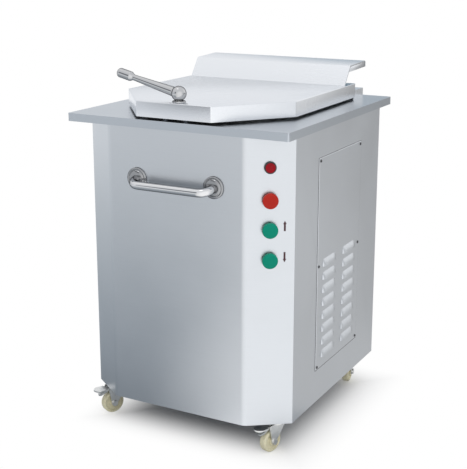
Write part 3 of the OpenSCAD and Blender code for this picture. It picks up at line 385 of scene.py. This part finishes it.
# Access panel with pressed louvres
ACCESS = {"y": 23.0, "w": 290.0, "top": TOP - 103, "h": 590.0, "rim": 1.2}
LOUVRE = {"w": 86.0, "h": 23.0, "out": 8.0, "rows": 8, "pitch": 37.1, "cols": 137.2, "drop": 290.0, "t": 0.9}
SLOT = {"side": 5.0, "low": 1.5, "high": 9.0}
HOOD_GRID = (28, 10)
HOOD_SPREAD, HOOD_END, HOOD_RISE = 0.7, 5, 1.15
RIM_NEAR, RIM_FOLD = 0.1, 0.5


def louvre_spots():
    for c in (-0.5, 0.5):
        for i in range(LOUVRE["rows"]):
            yield c * LOUVRE["cols"], ACCESS["h"] / 2 - LOUVRE["drop"] - i * LOUVRE["pitch"]


def access_plate(bm):
    """The sheet, in its own plane, with a slot behind each louvre; x runs to the rear and y up."""
    w, h = ACCESS["w"] / 2, ACCESS["h"] / 2
    sw, sh, col = LOUVRE["w"] / 2 - SLOT["side"], LOUVRE["h"] / 2, LOUVRE["cols"] / 2
    xs = sorted({-w, w, *[c + s * sw for c in (-col, col) for s in (-1, 1)]})
    slots = [(z - sh + SLOT["low"], z + sh - SLOT["high"]) for c, z in louvre_spots() if c < 0]
    ys = sorted({-h, h, *[v for s in slots for v in s]})
    grid = {(i, j): bm.verts.new((x, y, 0)) for i, x in enumerate(xs) for j, y in enumerate(ys)}
    faces = []
    for i in range(len(xs) - 1):
        for j in range(len(ys) - 1):
            mid = (ys[j] + ys[j + 1]) / 2
            if i in (1, 3) and any(a < mid < b for a, b in slots):
                continue
            faces.append(bm.faces.new((grid[i, j], grid[i + 1, j], grid[i + 1, j + 1], grid[i, j + 1])))
    thicken(bm, faces, -PANEL_T)

    def on_rim(v):
        return v.co.z > PANEL_T / 2 and (abs(v.co.x) > w - RIM_NEAR or abs(v.co.y) > h - RIM_NEAR)

    rim = [e for e in bm.edges if all(on_rim(v) for v in e.verts) and e.calc_face_angle(0) > RIM_FOLD]
    bmesh.ops.bevel(bm, geom=rim, offset=ACCESS["rim"], segments=1, profile=0.5, affect="EDGES")


def louvre_hood(bm, cx, cy):
    """A smooth pressed hood, open at its lower edge."""
    across, down = HOOD_GRID
    w, h = LOUVRE["w"] / 2, LOUVRE["h"]
    rows = []
    for j in range(down + 1):
        v = j / down
        row = []
        for i in range(across + 1):
            u = -1 + 2 * i / across
            u = math.copysign(abs(u) ** HOOD_SPREAD, u)
            end = math.sqrt(max(0.0, 1 - abs(u) ** HOOD_END))
            lift = LOUVRE["out"] * math.sin(v * math.pi / 2) ** HOOD_RISE * end
            row.append(bm.verts.new((cx + u * w, cy + h / 2 - v * h, PANEL_T - LOUVRE["t"] + lift)))
        rows.append(row)
    faces = []
    for a, b in zip(rows, rows[1:]):
        for i in range(across):
            faces.append(bm.faces.new((a[i], b[i], b[i + 1], a[i + 1])))
    thicken(bm, faces, LOUVRE["t"])


access_frame = frame_at((CAB_X, ACCESS["y"], ACCESS["top"] - ACCESS["h"] / 2), (0, 1, 0), (1, 0, 0))
bm = bmesh.new()
access_plate(bm)
for cx, cy in louvre_spots():
    louvre_hood(bm, cx, cy)
finish_piece("louvred_panel", bm, "chassis", M_skin, ["access_panel"], matrix=access_frame, angle=30)

# Painted shadow: a thin dark strip round the access panel's edge, standing for the shade along that edge
EDGE_SHADOW = {"left": 1.0, "right": 1.6, "top": 0.8, "low": 1.4, "t": 0.5, "lap": 6.0}
bm = bmesh.new()
w, h = ACCESS["w"] / 2, ACCESS["h"] / 2
outer = [(-w - EDGE_SHADOW["left"], -h - EDGE_SHADOW["low"]), (w + EDGE_SHADOW["right"], -h - EDGE_SHADOW["low"]),
         (w + EDGE_SHADOW["right"], h + EDGE_SHADOW["top"]), (-w - EDGE_SHADOW["left"], h + EDGE_SHADOW["top"])]
inner = [(math.copysign(w - EDGE_SHADOW["lap"], x), math.copysign(h - EDGE_SHADOW["lap"], y)) for x, y in outer]
a = [bm.verts.new((x, y, 0)) for x, y in outer]
b = [bm.verts.new((x, y, 0)) for x, y in inner]
thicken(bm, [bm.faces.new((a[i], a[(i + 1) % 4], b[(i + 1) % 4], b[i])) for i in range(4)], -EDGE_SHADOW["t"])
finish_piece("panel_edge_shadow", bm, "chassis", M_black, matrix=access_frame)

bm = bmesh.new()
SCREW_INSET = 8.0
SCREW_SIDES = 20
SCREW_PROFILE = [(0, 1.0), (1.3, 1.0), (1.6, 2.2), (2.4, 2.2), (3.4, 1.8), (4.0, 1.0), (4.0, 0), (2.0, 0),
                 (2.0, -10.0), (0, -10.0)]
for sx in (-1, 1):
    for sy in (-1, 0, 1):
        spot = (sx * (ACCESS["w"] / 2 - SCREW_INSET), sy * (ACCESS["h"] / 2 - SCREW_INSET), PANEL_T)
        lathe(bm, SCREW_PROFILE, SCREW_SIDES, Matrix.Translation(spot))
finish_piece("panel_screws", bm, "chassis", M_screw, ["access_screws"], matrix=access_frame)

# Tabletop and lid
dress(M_top, "tabletop", bevel=0.5)


LID_T = 3.0
LID_ROUND = 2.0


def lid_line():
    """Outer line of the lid from its rear left corner round the front to its rear right one."""
    cx, cy = LID_CHAMFER
    half = [(LID_X - cx, LID_FRONT), (LID_X, LID_FRONT + cy), (LID_X, LID_REAR)]
    return [(-x, y) for x, y in reversed(half)] + half


bm = bmesh.new()
outline = [bm.verts.new((x, y, LID_TOP)) for x, y in lid_line()]
top_face = bm.faces.new(outline)
skirt = bmesh.ops.extrude_edge_only(bm, edges=list(top_face.edges))["geom"]
low_verts = [g for g in skirt if isinstance(g, bmesh.types.BMVert)]
bmesh.ops.translate(bm, verts=low_verts, vec=(0, 0, LID_BOTTOM - LID_TOP))
low = set(low_verts)
soft_edges = [e for e in bm.edges if not (e.verts[0] in low and e.verts[1] in low)]
bmesh.ops.bevel(bm, geom=soft_edges, offset=LID_ROUND, segments=3, profile=0.5, affect="EDGES")
bmesh.ops.recalc_face_normals(bm, faces=bm.faces)
thicken(bm, list(bm.faces), LID_T)
finish_piece("lid_skin", bm, "lid", M_lid, ["lid_shell"], matrix=UPRIGHT)

# Upstand: a bent sheet, drawn in y and z and swept across the lid
UP = {"w": 250.0, "foot": LID_REAR - 63.0, "lean": 37.0, "rise": 50.0, "flange": 112.0, "pitch": 4.0,
      "lip": 15.0, "t": 3.0, "bend": 1.5, "lip_bend": 4.0, "dip_share": 0.04, "seat": 0.6, "end_gap": 1.0,
      "end_round": 0.5}
bend_y, bend_z = UP["foot"] + UP["lean"], LID_TOP + UP["rise"]
back_y, back_z = bend_y + UP["flange"], bend_z + UP["pitch"]
dip = UP["dip_share"]
up_line = [(UP["foot"] - dip * UP["lean"], LID_TOP - dip * UP["rise"]), (bend_y, bend_z), (back_y, back_z),
           (back_y, back_z - UP["lip"])]
bm = bmesh.new()
sheet(bm, rounded(up_line, (0, UP["bend"], UP["lip_bend"], 0)), -UP["w"], UP["w"], UP["t"])
lean = UP["lean"] * (UP["rise"] - UP["lip"]) / UP["rise"]
end = [(bend_y + UP["end_gap"], bend_z - UP["seat"]), (back_y - UP["end_gap"], back_z - UP["seat"]),
       (back_y - UP["end_gap"], back_z - UP["lip"]), (UP["foot"] + lean + UP["end_gap"], bend_z - UP["lip"])]
for s in (-1, 1):
    edges = sorted((s * UP["w"], s * (UP["w"] - UP["t"])))
    prism(bm, end, *edges, UP["end_round"])
finish_piece("upstand_skin", bm, "lid", M_lid, ["lid_upstand"],
             matrix=frame_at((0, 0, 0), (0, 1, 0), (1, 0, 0)))
dress(M_lid, "hinge_brackets", "lid_hinge_arms", bevel=1.0)
dress(M_chrome, "hinge_shaft")
dress(M_pad, "lid_press_plate", bevel=1.0)
dress(M_zinc, "lid_ribs", bevel=0.5)

# Lever: ball, tapered arm and knob on one axis
R_BALL = 19.5
LEVER_CUT = 3.3
BALL_ARC, BALL_STEPS = (-80, 48), 22
NECK, ROOT, TIP = (12.4, 16.0), (12.3, 18.0), (7.5, 139.0)
LEVER_ROUNDS = (0, 1.0, 2.0, 3.0, 9.0, 0)
LEVER_STEPS = 8
KNOB_R, KNOB_LOW, KNOB_END = 12.5, 148.0, 188.0
ROUND_SIDES = 72
arm = [(0, -R_BALL)] + [p for p in arc(0, 0, R_BALL, *BALL_ARC, BALL_STEPS) if p[0] >= 0]
arm += rounded([NECK, ROOT, TIP, (KNOB_R, KNOB_LOW), (KNOB_R, KNOB_END), (0, KNOB_END)],
               LEVER_ROUNDS, LEVER_STEPS)
bm = bmesh.new()
lathe(bm, arm, ROUND_SIDES)
tilt = frame_at((0, LEVER_Y, BALL_Z), (0, 1, 0), (-math.cos(LEVER_TILT), 0, math.sin(LEVER_TILT)))
bm.transform(tilt)
cut_flat(bm, (0, 0, (LID_TOP + LEVER_CUT) * MM), (0, 0, -1))
finish_piece("ball_lever", bm, "lever", M_chrome, ["lever_handle"])
dress(M_zinc, "lock_spindle", bevel=0.6)
dress(M_frame, "latch_keeper", bevel=0.6)

bm = bmesh.new()
BUSH = {"bore": 8.1, "flange": 17.0, "body": 12.0, "front": 3.0, "nut": 10.0}
bush = rounded([(BUSH["bore"], BUSH["front"]), (BUSH["flange"], BUSH["front"]), (BUSH["flange"], 0.0),
                (BUSH["body"], 0.0), (BUSH["body"], -LID_T), (BUSH["flange"], -LID_T),
                (BUSH["flange"], -BUSH["nut"]), (BUSH["bore"], -BUSH["nut"])], (0, 1.2, 0, 0, 0, 0, 0.8, 0))
closed_ring(bm, bush)
bush_frame = frame_at((0, LEVER_Y, LID_TOP), (1, 0, 0), (0, 0, 1))
finish_piece("lever_collar", bm, "lid", M_chrome, ["lever_bush"], matrix=bush_frame)

# Grab bar: a round bar swept along a path with two bends, in a plane that slopes down from its feet
BAR_R = 11.0
BAR_BEND = 27.0
BAR_SIDES = 40
BEND_RINGS = 14
leg = math.hypot(HANDLE_REACH, HANDLE_SAG)
bm = bmesh.new()
half = arc(HANDLE_X - BAR_BEND, BAR_BEND - leg, BAR_BEND, -90, 0, BEND_RINGS) + [(HANDLE_X, BAR_R / 2)]
path = [(-x, y) for x, y in reversed(half)] + half
rings = []
for i, (x, y) in enumerate(path):
    a, b = path[max(i - 1, 0)], path[min(i + 1, len(path) - 1)]
    t = Vector((b[0] - a[0], b[1] - a[1], 0)).normalized()
    side = Vector((-t.y, t.x, 0))
    ring = []
    for k in range(BAR_SIDES):
        q = 2 * math.pi * k / BAR_SIDES
        offset = math.cos(q) * side + Vector((0, 0, math.sin(q)))
        ring.append(bm.verts.new(Vector((x, y, 0)) + BAR_R * offset))
    rings.append(ring)
for a, b in zip(rings, rings[1:]):
    for k in range(BAR_SIDES):
        bm.faces.new((a[k], a[(k + 1) % BAR_SIDES], b[(k + 1) % BAR_SIDES], b[k]))
bm.transform(Matrix.Rotation(HANDLE_TILT, 4, "X"))
cut_flat(bm, (0, 0, 0), (0, 1, 0))
handle_frame = frame_at((0, CAB_FRONT, HANDLE_Z), (1, 0, 0), (0, 0, 1))
finish_piece("grab_bar", bm, "chassis", M_lit_chrome, ["handle_bar"], matrix=handle_frame)

# Rosettes, whose bores follow the slope of the legs
bm = bmesh.new()
ROSE_BORE, ROSE_T, BORE_EDGE = 11.2, 8.0, 0.5
rose = rounded([(ROSE_BORE, 0.0), (29.0, 0.0), (29.0, 3.2), (26.0, 5.4), (22.5, 4.6), (20.5, 7.2),
                (18.0, ROSE_T), (ROSE_BORE, ROSE_T)], (0, 0.4, 1.6, 1.8, 1.2, 1.2, 0.8, 0))
for s in (-1, 1):
    turned = Matrix.Translation((s * HANDLE_X, 0, 0)) @ Matrix.Rotation(math.radians(90), 4, "X")
    for v in closed_ring(bm, rose, ROUND_SIDES, turned):
        if math.hypot(v.co.x - s * HANDLE_X, v.co.z) < ROSE_BORE + BORE_EDGE:
            v.co.z += v.co.y * math.tan(HANDLE_TILT)
finish_piece("bar_rosettes", bm, "chassis", M_shaded_chrome, ["handle_rosettes"], matrix=handle_frame)

# Controls on the right chamfer: collars, barrels and nuts
HOLE_R, NUT_R, STEM_BORE = 10.85, 14.5, 8.05
NUT_LOW, BARREL_LOW = -6.5, -22.0
COLLAR_ROUND = 1.2
BARREL = [(HOLE_R, 0.0), (HOLE_R, -PANEL_T), (NUT_R, -PANEL_T), (NUT_R, NUT_LOW), (HOLE_R, NUT_LOW),
          (HOLE_R, BARREL_LOW), (STEM_BORE, BARREL_LOW)]
COLLAR = {"bore": STEM_BORE, "r": 14.0, "front": 2.5}
BEZEL = {"bore": 12.8, "r": 15.5, "front": 6.0, "seat": 2.0}
bm = bmesh.new()
for key, z in CONTROL_Z.items():
    kind = BEZEL if key == "lamp" else COLLAR
    ring = [(kind["bore"], kind["front"]), (kind["r"], kind["front"]), (kind["r"], 0.0), *BARREL]
    if key == "lamp":
        ring += [(STEM_BORE, kind["seat"]), (kind["bore"], kind["seat"])]
    radii = [0, COLLAR_ROUND] + [0] * (len(ring) - 2)
    closed_ring(bm, rounded(ring, radii), matrix=on_chamfer(z))
finish_piece("control_collars", bm, "chassis", M_black, ["control_bezels"])

# Lens with ring steps that rise towards its middle
LENS = {"r": 12.5, "shoulder": 6.6, "front": 8.0, "rings": 6, "pitch": 1.6, "rise": 0.55, "groove": 0.2,
        "crest": 0.4, "trough": 1.2, "sides": 48}
bm = bmesh.new()
lens = [(0, BEZEL["seat"]), (LENS["r"], BEZEL["seat"]), (LENS["r"], LENS["shoulder"])]
for k in range(LENS["rings"]):
    r = LENS["r"] - LENS["pitch"] * k
    lens += [(r - LENS["crest"], LENS["shoulder"] + LENS["rise"] * math.sqrt(k + LENS["crest"])),
             (r - LENS["trough"], LENS["shoulder"] - LENS["groove"] + LENS["rise"] * math.sqrt(k + 1))]
lens += [(0, LENS["front"])]
lathe(bm, lens, LENS["sides"])
lamp_frame = on_chamfer(CONTROL_Z["lamp"])
finish_piece("pilot_lens", bm, "chassis", M_lamp, ["lamp_lens"], matrix=lamp_frame, angle=25)

# Mushroom heads on their stems, with a skirt that goes down over the collar
STEM_R, STEM_LOW, HEAD_R = 8.0, -17.5, 20.0
HEAD = rounded([(0, STEM_LOW), (STEM_R, STEM_LOW), (STEM_R, 7.0), (15.0, 7.0), (15.6, 4.7), (19.4, 4.7),
                (HEAD_R, 5.4), (HEAD_R, 13.5), (12.0, 15.5), (0, 16.0)],
               (0, 0.8, 0.6, 0.3, 0.3, 0.4, 0.4, 1.6, 16.0, 0), 6)
BUTTONS = (("stop", "stop_button", M_red, "stop_red"), ("raise", "up_button", M_green, "green"),
           ("lower", "down_button", M_green, "green"))
for body, node, material, slot in BUTTONS:
    bm = bmesh.new()
    lathe(bm, HEAD, ROUND_SIDES)
    finish_piece(body + "_mushroom", bm, body, material, [node], matrix=on_chamfer(CONTROL_Z[body]))

# Arrows beside the two lower buttons
ARROW = [(-2.5, -13.5), (2.5, -13.5), (2.5, 4.5), (4.4, 4.5), (0.0, 13.5), (-4.4, 4.5), (-2.5, 4.5)]
ARROW_T, ARROW_X = 0.25, 38.3
ARROW_Z = {"arrow_up": TOP - 248.5, "arrow_down": TOP - 330.0}
for name, z in ARROW_Z.items():
    s = 1 if name == "arrow_up" else -1
    bm = bmesh.new()
    prism(bm, [(x, s * y) for x, y in ARROW], 0.0, ARROW_T, ARROW_T / 5, 1)
    spot = on_chamfer(z) @ Matrix.Translation((ARROW_X, 0, 0))
    finish_piece(name, bm, "chassis", M_mark, matrix=spot)

# Castors
WHEEL_HALF = [(5.05, 13.5), (10.5, 13.5), (12.0, 12.6), (12.0, 7.0), (23.0, 7.0), (24.5, 11.0), (28.0, 11.0),
              (AXLE_Z, 7.5)]
WHEEL_ROUNDS = [0, 0, 0, 1.2, 1.2, 0.6, 2.0, 3.0]
WHEEL = rounded([(r, -z) for r, z in WHEEL_HALF] + WHEEL_HALF[::-1], WHEEL_ROUNDS + WHEEL_ROUNDS[::-1], 4)
for corner in HEADINGS:
    bm = bmesh.new()
    closed_ring(bm, WHEEL, ROUND_SIDES, Matrix.Rotation(math.radians(90), 4, "X"))
    finish_piece("nylon_wheel_" + corner, bm, "roll_" + corner, M_nylon, ["wheel_" + corner],
                 matrix=in_fork(corner, (TRAIL, 0, AXLE_Z)))
dress(M_zinc, "caster_plates", *["fork_" + c for c in HEADINGS], bevel=0.5)
dress(M_zinc, "pedal_front_left", "pedal_front_right", bevel=0.8)

# Basin, pads, knives and what drives them
dress(M_lid, "basin", bevel=0.8)
dress(M_pad, "pressing_pads", bevel=0.8)
dress(M_knife, "knife_blades", "ring_knife")
dress(M_zinc, "pad_carrier", "knife_carrier", "gear_pump", "valve_block", "pressure_pipes", "motor_rotor",
      "control_box")
dress(M_chrome, "tie_rods", "ram_rod")
dress(M_brass, "ram_gland")
dress(M_frame, "base_frame", "floor_tray", "frame_posts", "press_plates", "motor_housing", bevel=0.8)
dress(M_tank, "oil_tank", "ram_barrel", "knife_cylinders", bevel=0.8)
dress(M_black, "switch_blocks", "cable_gland", bevel=0.6)


# Studio directions and levels
def toward(azimuth, elevation):
    """Unit vector that points away from the object, with azimuth 0 at its front and 90 at its right."""
    a, e = math.radians(azimuth), math.radians(elevation)
    return Vector((math.sin(a) * math.cos(e), -math.cos(a) * math.cos(e), math.sin(e)))


ROOM = 0.62
HORIZON_EDGE = (0.0, 0.30)
HORIZON_TONES = ((0.76, 0.79, 0.83), (1.0, 1.01, 1.03))
KEY_WAY = toward(44, 0)
KEY_EDGE = (0.60, 0.98)
KEY_LEVEL = 1.34
FRONT_WAY = toward(5, 0)
FRONT_EDGE = (0.88, 0.99)
FRONT_LEVEL = 1.10
WALL_WAY = toward(151, 0)
WALL_EDGE = (0.45, 0.95)
WALL_LEVEL = 0.40
WALL_HEIGHT = (0.0, 0.12)
SIDE_WAY = toward(120, 0)
SIDE_EDGE = (0.80, 0.905)
SIDE_TONES = (0.70, 0.92)
HIGH_WAY = toward(-91, 63)
HIGH_EDGE = (0.88, 0.97)
HIGH_LEVEL = 1.16
CARD_WAY = toward(150, 20)
CARD_EDGE = (0.86, 0.985)
CARD_LEVEL = 1.25
REAR_WAY = toward(191, -3)
REAR_EDGE = (0.930, 0.968)
REAR_TONE = (0.22, 0.33, 0.42)
STRIP_WAY = toward(-30, 76)
STRIP_EDGE = (0.988, 0.997)
STRIP_LEVEL = 2.6
DIM_WAY = toward(-26, 16)
DIM_EDGE = (0.966, 0.990)
DIM_TONE = (0.26, 0.27, 0.29)
WHITE = (1, 1, 1, 1)
ROOM_TINT = (0.98, 0.99, 1.0, 1)


def map_range(add, value, low, high, to_low=0.0, to_high=1.0):
    n = add("ShaderNodeMapRange", {0: value}, interpolation_type="SMOOTHSTEP")
    for i, v in zip((1, 2, 3, 4), (low, high, to_low, to_high)):
        n.inputs[i].default_value = v
    return n.outputs[0]


def facing(add, vector, way, edge):
    """Rises from 0 to 1 as a vector turns towards a direction."""
    dot = add("ShaderNodeVectorMath", {0: vector}, operation="DOT_PRODUCT")
    dot.inputs[1].default_value = way
    return map_range(add, dot.outputs["Value"], *edge)


def blend_colour(add, factor, a, b):
    n = add("ShaderNodeMix", {0: factor}, data_type="RGBA")
    for i, c in ((6, a), (7, b)):
        if isinstance(c, tuple):
            n.inputs[i].default_value = (*c, 1.0)
        else:
            n.id_data.links.new(c, n.inputs[i])
    return n.outputs[2]


def grey(level):
    return (level,) * 3


def times(add, a, b):
    return add("ShaderNodeMath", {0: a, 1: b}, operation="MULTIPLY").outputs[0]


def seen_directly(add, rays):
    """1 for rays from the camera, also through clear pieces."""
    return add("ShaderNodeMath", {0: rays.outputs["Is Camera Ray"], 1: rays.outputs["Is Transmission Ray"]},
               operation="MAXIMUM").outputs[0]


# Floor: paper that takes the object's shadow and turns into the white background beside it
FLOOR_CELLS, FLOOR_SIZE = 8, 9.0
PAPER = [(0.3, (0.925, 0.925, 0.925)), (0.7, (0.94, 0.94, 0.94))]
PAPER_ROUGH, PAPER_GRAIN = 0.8, 3.0
bm = bmesh.new()
bmesh.ops.create_grid(bm, x_segments=FLOOR_CELLS, y_segments=FLOOR_CELLS, size=FLOOR_SIZE)
mesh = bpy.data.meshes.new("floor")
bm.to_mesh(mesh)
bm.free()
floor = bpy.data.objects.new("floor", mesh)
bpy.context.scene.collection.objects.link(floor)
M_floor, tree, shader, add = shade("floor_paper", roughness=PAPER_ROUGH)
grain = stretched_noise(add, (1, 1, 1), PAPER_GRAIN)
paper = ramp(add, grain.outputs["Fac"], PAPER)
tree.links.new(paper.outputs["Color"], shader.inputs["Base Color"])
where = add("ShaderNodeTexCoord").outputs["Object"]
rays = add("ShaderNodeLightPath")

# Distance outside the footprint, with the shadow's box set a little to the right and rear
SHADOW_MID = (0.035, 0.02, 0.0)
SHADOW_HALF = (0.335, 0.34, 1.0)
SHADOW_EDGE = (-0.15, 0.055)
off = add("ShaderNodeVectorMath", {0: where}, operation="SUBTRACT")
off.inputs[1].default_value = SHADOW_MID
size = add("ShaderNodeVectorMath", {0: off.outputs[0]}, operation="ABSOLUTE")
out = add("ShaderNodeVectorMath", {0: size.outputs[0]}, operation="SUBTRACT")
out.inputs[1].default_value = SHADOW_HALF
beyond = add("ShaderNodeVectorMath", {0: out.outputs[0]}, operation="MAXIMUM")
reach = add("ShaderNodeVectorMath", {0: beyond.outputs[0]}, operation="LENGTH")
parts = add("ShaderNodeSeparateXYZ", {0: out.outputs[0]})
most = add("ShaderNodeMath", {0: parts.outputs[0], 1: parts.outputs[1]}, operation="MAXIMUM")
within = add("ShaderNodeMath", {0: most.outputs[0]}, operation="MINIMUM")
within.inputs[1].default_value = 0.0
gap = add("ShaderNodeMath", {0: reach.outputs["Value"], 1: within.outputs[0]}, operation="ADD").outputs[0]
clear = times(add, map_range(add, gap, *SHADOW_EDGE), seen_directly(add, rays))
white = add("ShaderNodeEmission", Color=WHITE, Strength=1.0)
seen = add("ShaderNodeMixShader", {0: clear, 1: shader.outputs[0], 2: white.outputs[0]})

# What metal sees of the floor is a painted glow: painted shadow dark below the object, paler further out,
# and painted light bright towards the key light
FLOOR_LOW, FLOOR_REACH = -0.3, 6.0
BESIDE_EDGE = (-0.04, 0.12)
SIDE_START = (-0.14, 0.02)
FRONT_START = (-0.04, 0.6)
SIDE_REACH = (0.3, 2.0)
share = add("ShaderNodeMapRange", {0: gap})
for i, v in zip((1, 2), (FLOOR_LOW, FLOOR_REACH)):
    share.inputs[i].default_value = v
# Painted shadow under the object, going paler and then brighter further out
FLOOR_TONES = [(0.016, (0.12, 0.13, 0.14)), (0.048, (0.25, 0.275, 0.30)), (0.11, (0.36, 0.40, 0.44)),
               (0.206, (0.50, 0.54, 0.58)), (0.365, (0.66, 0.70, 0.73)), (0.84, (1.14, 1.15, 1.17))]
tones = ramp(add, share.outputs[0], FLOOR_TONES).outputs["Color"]
heading = add("ShaderNodeVectorMath", {0: where}, operation="NORMALIZE").outputs[0]
beside = map_range(add, gap, *BESIDE_EDGE)
wall = times(add, facing(add, heading, WALL_WAY, WALL_EDGE), beside)
tones = blend_colour(add, wall, tones, grey(WALL_LEVEL))
side = times(add, facing(add, heading, SIDE_WAY, SIDE_EDGE), map_range(add, gap, *SIDE_START))
tones = blend_colour(add, side, tones, map_range(add, gap, *SIDE_REACH, *SIDE_TONES))
front = times(add, facing(add, heading, FRONT_WAY, FRONT_EDGE), map_range(add, gap, *FRONT_START))
tones = blend_colour(add, front, tones, grey(FRONT_LEVEL))
key = times(add, facing(add, heading, KEY_WAY, KEY_EDGE), beside)
tones = blend_colour(add, key, tones, grey(KEY_LEVEL))
mirror = add("ShaderNodeEmission", {"Color": tones}, Strength=1.0)
mirrored = rays.outputs["Is Glossy Ray"]
both = add("ShaderNodeMixShader", {0: mirrored, 1: seen.outputs[0], 2: mirror.outputs[0]})
tree.links.new(both.outputs[0], tree.nodes["Material Output"].inputs["Surface"])
mesh.materials.append(M_floor)

# Cards in the room that metal mirrors, each laid over those before it
ROOM_CARDS = ((HIGH_WAY, HIGH_EDGE, grey(HIGH_LEVEL)), (CARD_WAY, CARD_EDGE, grey(CARD_LEVEL)),
              (STRIP_WAY, STRIP_EDGE, grey(STRIP_LEVEL)), (DIM_WAY, DIM_EDGE, DIM_TONE),
              (FRONT_WAY, FRONT_EDGE, grey(FRONT_LEVEL)), (KEY_WAY, KEY_EDGE, grey(KEY_LEVEL)))

# Room: white for the camera, soft for lit surfaces, and for metal brighter towards the key light
scene = bpy.context.scene
scene.view_settings.view_transform = "Standard"
world = bpy.data.worlds.new("studio")
scene.world = world
world.use_nodes = True
tree = world.node_tree
tree.nodes.clear()
add = node_adder(tree)
rays = add("ShaderNodeLightPath")
way = add("ShaderNodeTexCoord").outputs["Generated"]
height = add("ShaderNodeSeparateXYZ", {0: way}).outputs[2]
tones = blend_colour(add, map_range(add, height, *HORIZON_EDGE), *HORIZON_TONES)
tones = blend_colour(add, facing(add, way, REAR_WAY, REAR_EDGE), tones, REAR_TONE)
low_wall = times(add, facing(add, way, WALL_WAY, WALL_EDGE), map_range(add, height, *WALL_HEIGHT, 1.0, 0.0))
tones = blend_colour(add, low_wall, tones, grey(WALL_LEVEL))
for card, edge, tone in ROOM_CARDS:
    tones = blend_colour(add, facing(add, way, card, edge), tones, tone)
shiny = add("ShaderNodeBackground", {"Color": tones}, Strength=1.0)
room = add("ShaderNodeBackground", Color=ROOM_TINT, Strength=ROOM)
white = add("ShaderNodeBackground", Color=WHITE, Strength=1.0)
mirrored = rays.outputs["Is Glossy Ray"]
glossy = add("ShaderNodeMixShader", {0: mirrored, 1: room.outputs[0], 2: shiny.outputs[0]})
both = add("ShaderNodeMixShader", {0: seen_directly(add, rays), 1: glossy.outputs[0], 2: white.outputs[0]})
add("ShaderNodeOutputWorld", {"Surface": both.outputs[0]})


# Lamps: azimuth, elevation, distance, size and power
AIM = Vector((0, 0, 0.5))
LAMPS = {"key": (44, 35, 3.0, (2.0, 2.0), 30), "top": (0, 88, 2.6, (2.6, 2.6), 24)}


def softbox(name, azimuth, elevation, distance, size, power):
    """A lamp aimed at the object's middle and left out of reflections."""
    way = toward(azimuth, elevation)
    data = bpy.data.lights.new(name, "AREA")
    data.shape = "RECTANGLE"
    data.size, data.size_y = size
    data.energy = power
    o = bpy.data.objects.new(name, data)
    o.location = AIM + way * distance
    o.rotation_euler = (-way).to_track_quat("-Z", "Y").to_euler()
    o.visible_glossy = False
    scene.collection.objects.link(o)


for name, lamp in LAMPS.items():
    softbox(name, *lamp)

# Camera at the photograph's angle
FOCAL_PX = 1045.0
FRAME_PX = 469.0
EYE = (1368.9, -2558.0, TOP + 435)
PITCH, YAW = 14.36, 28.37
SENSOR_MM = 36.0
SHIFT = -0.05
cam = bpy.data.cameras.new("camera")
cam.sensor_width = SENSOR_MM
cam.lens = FOCAL_PX * SENSOR_MM / FRAME_PX
cam.shift_y = SHIFT
camera = bpy.data.objects.new("camera", cam)
camera.location = place(EYE)
camera.rotation_euler = (math.radians(90 - PITCH), 0, math.radians(YAW))
scene.collection.objects.link(camera)
scene.camera = camera
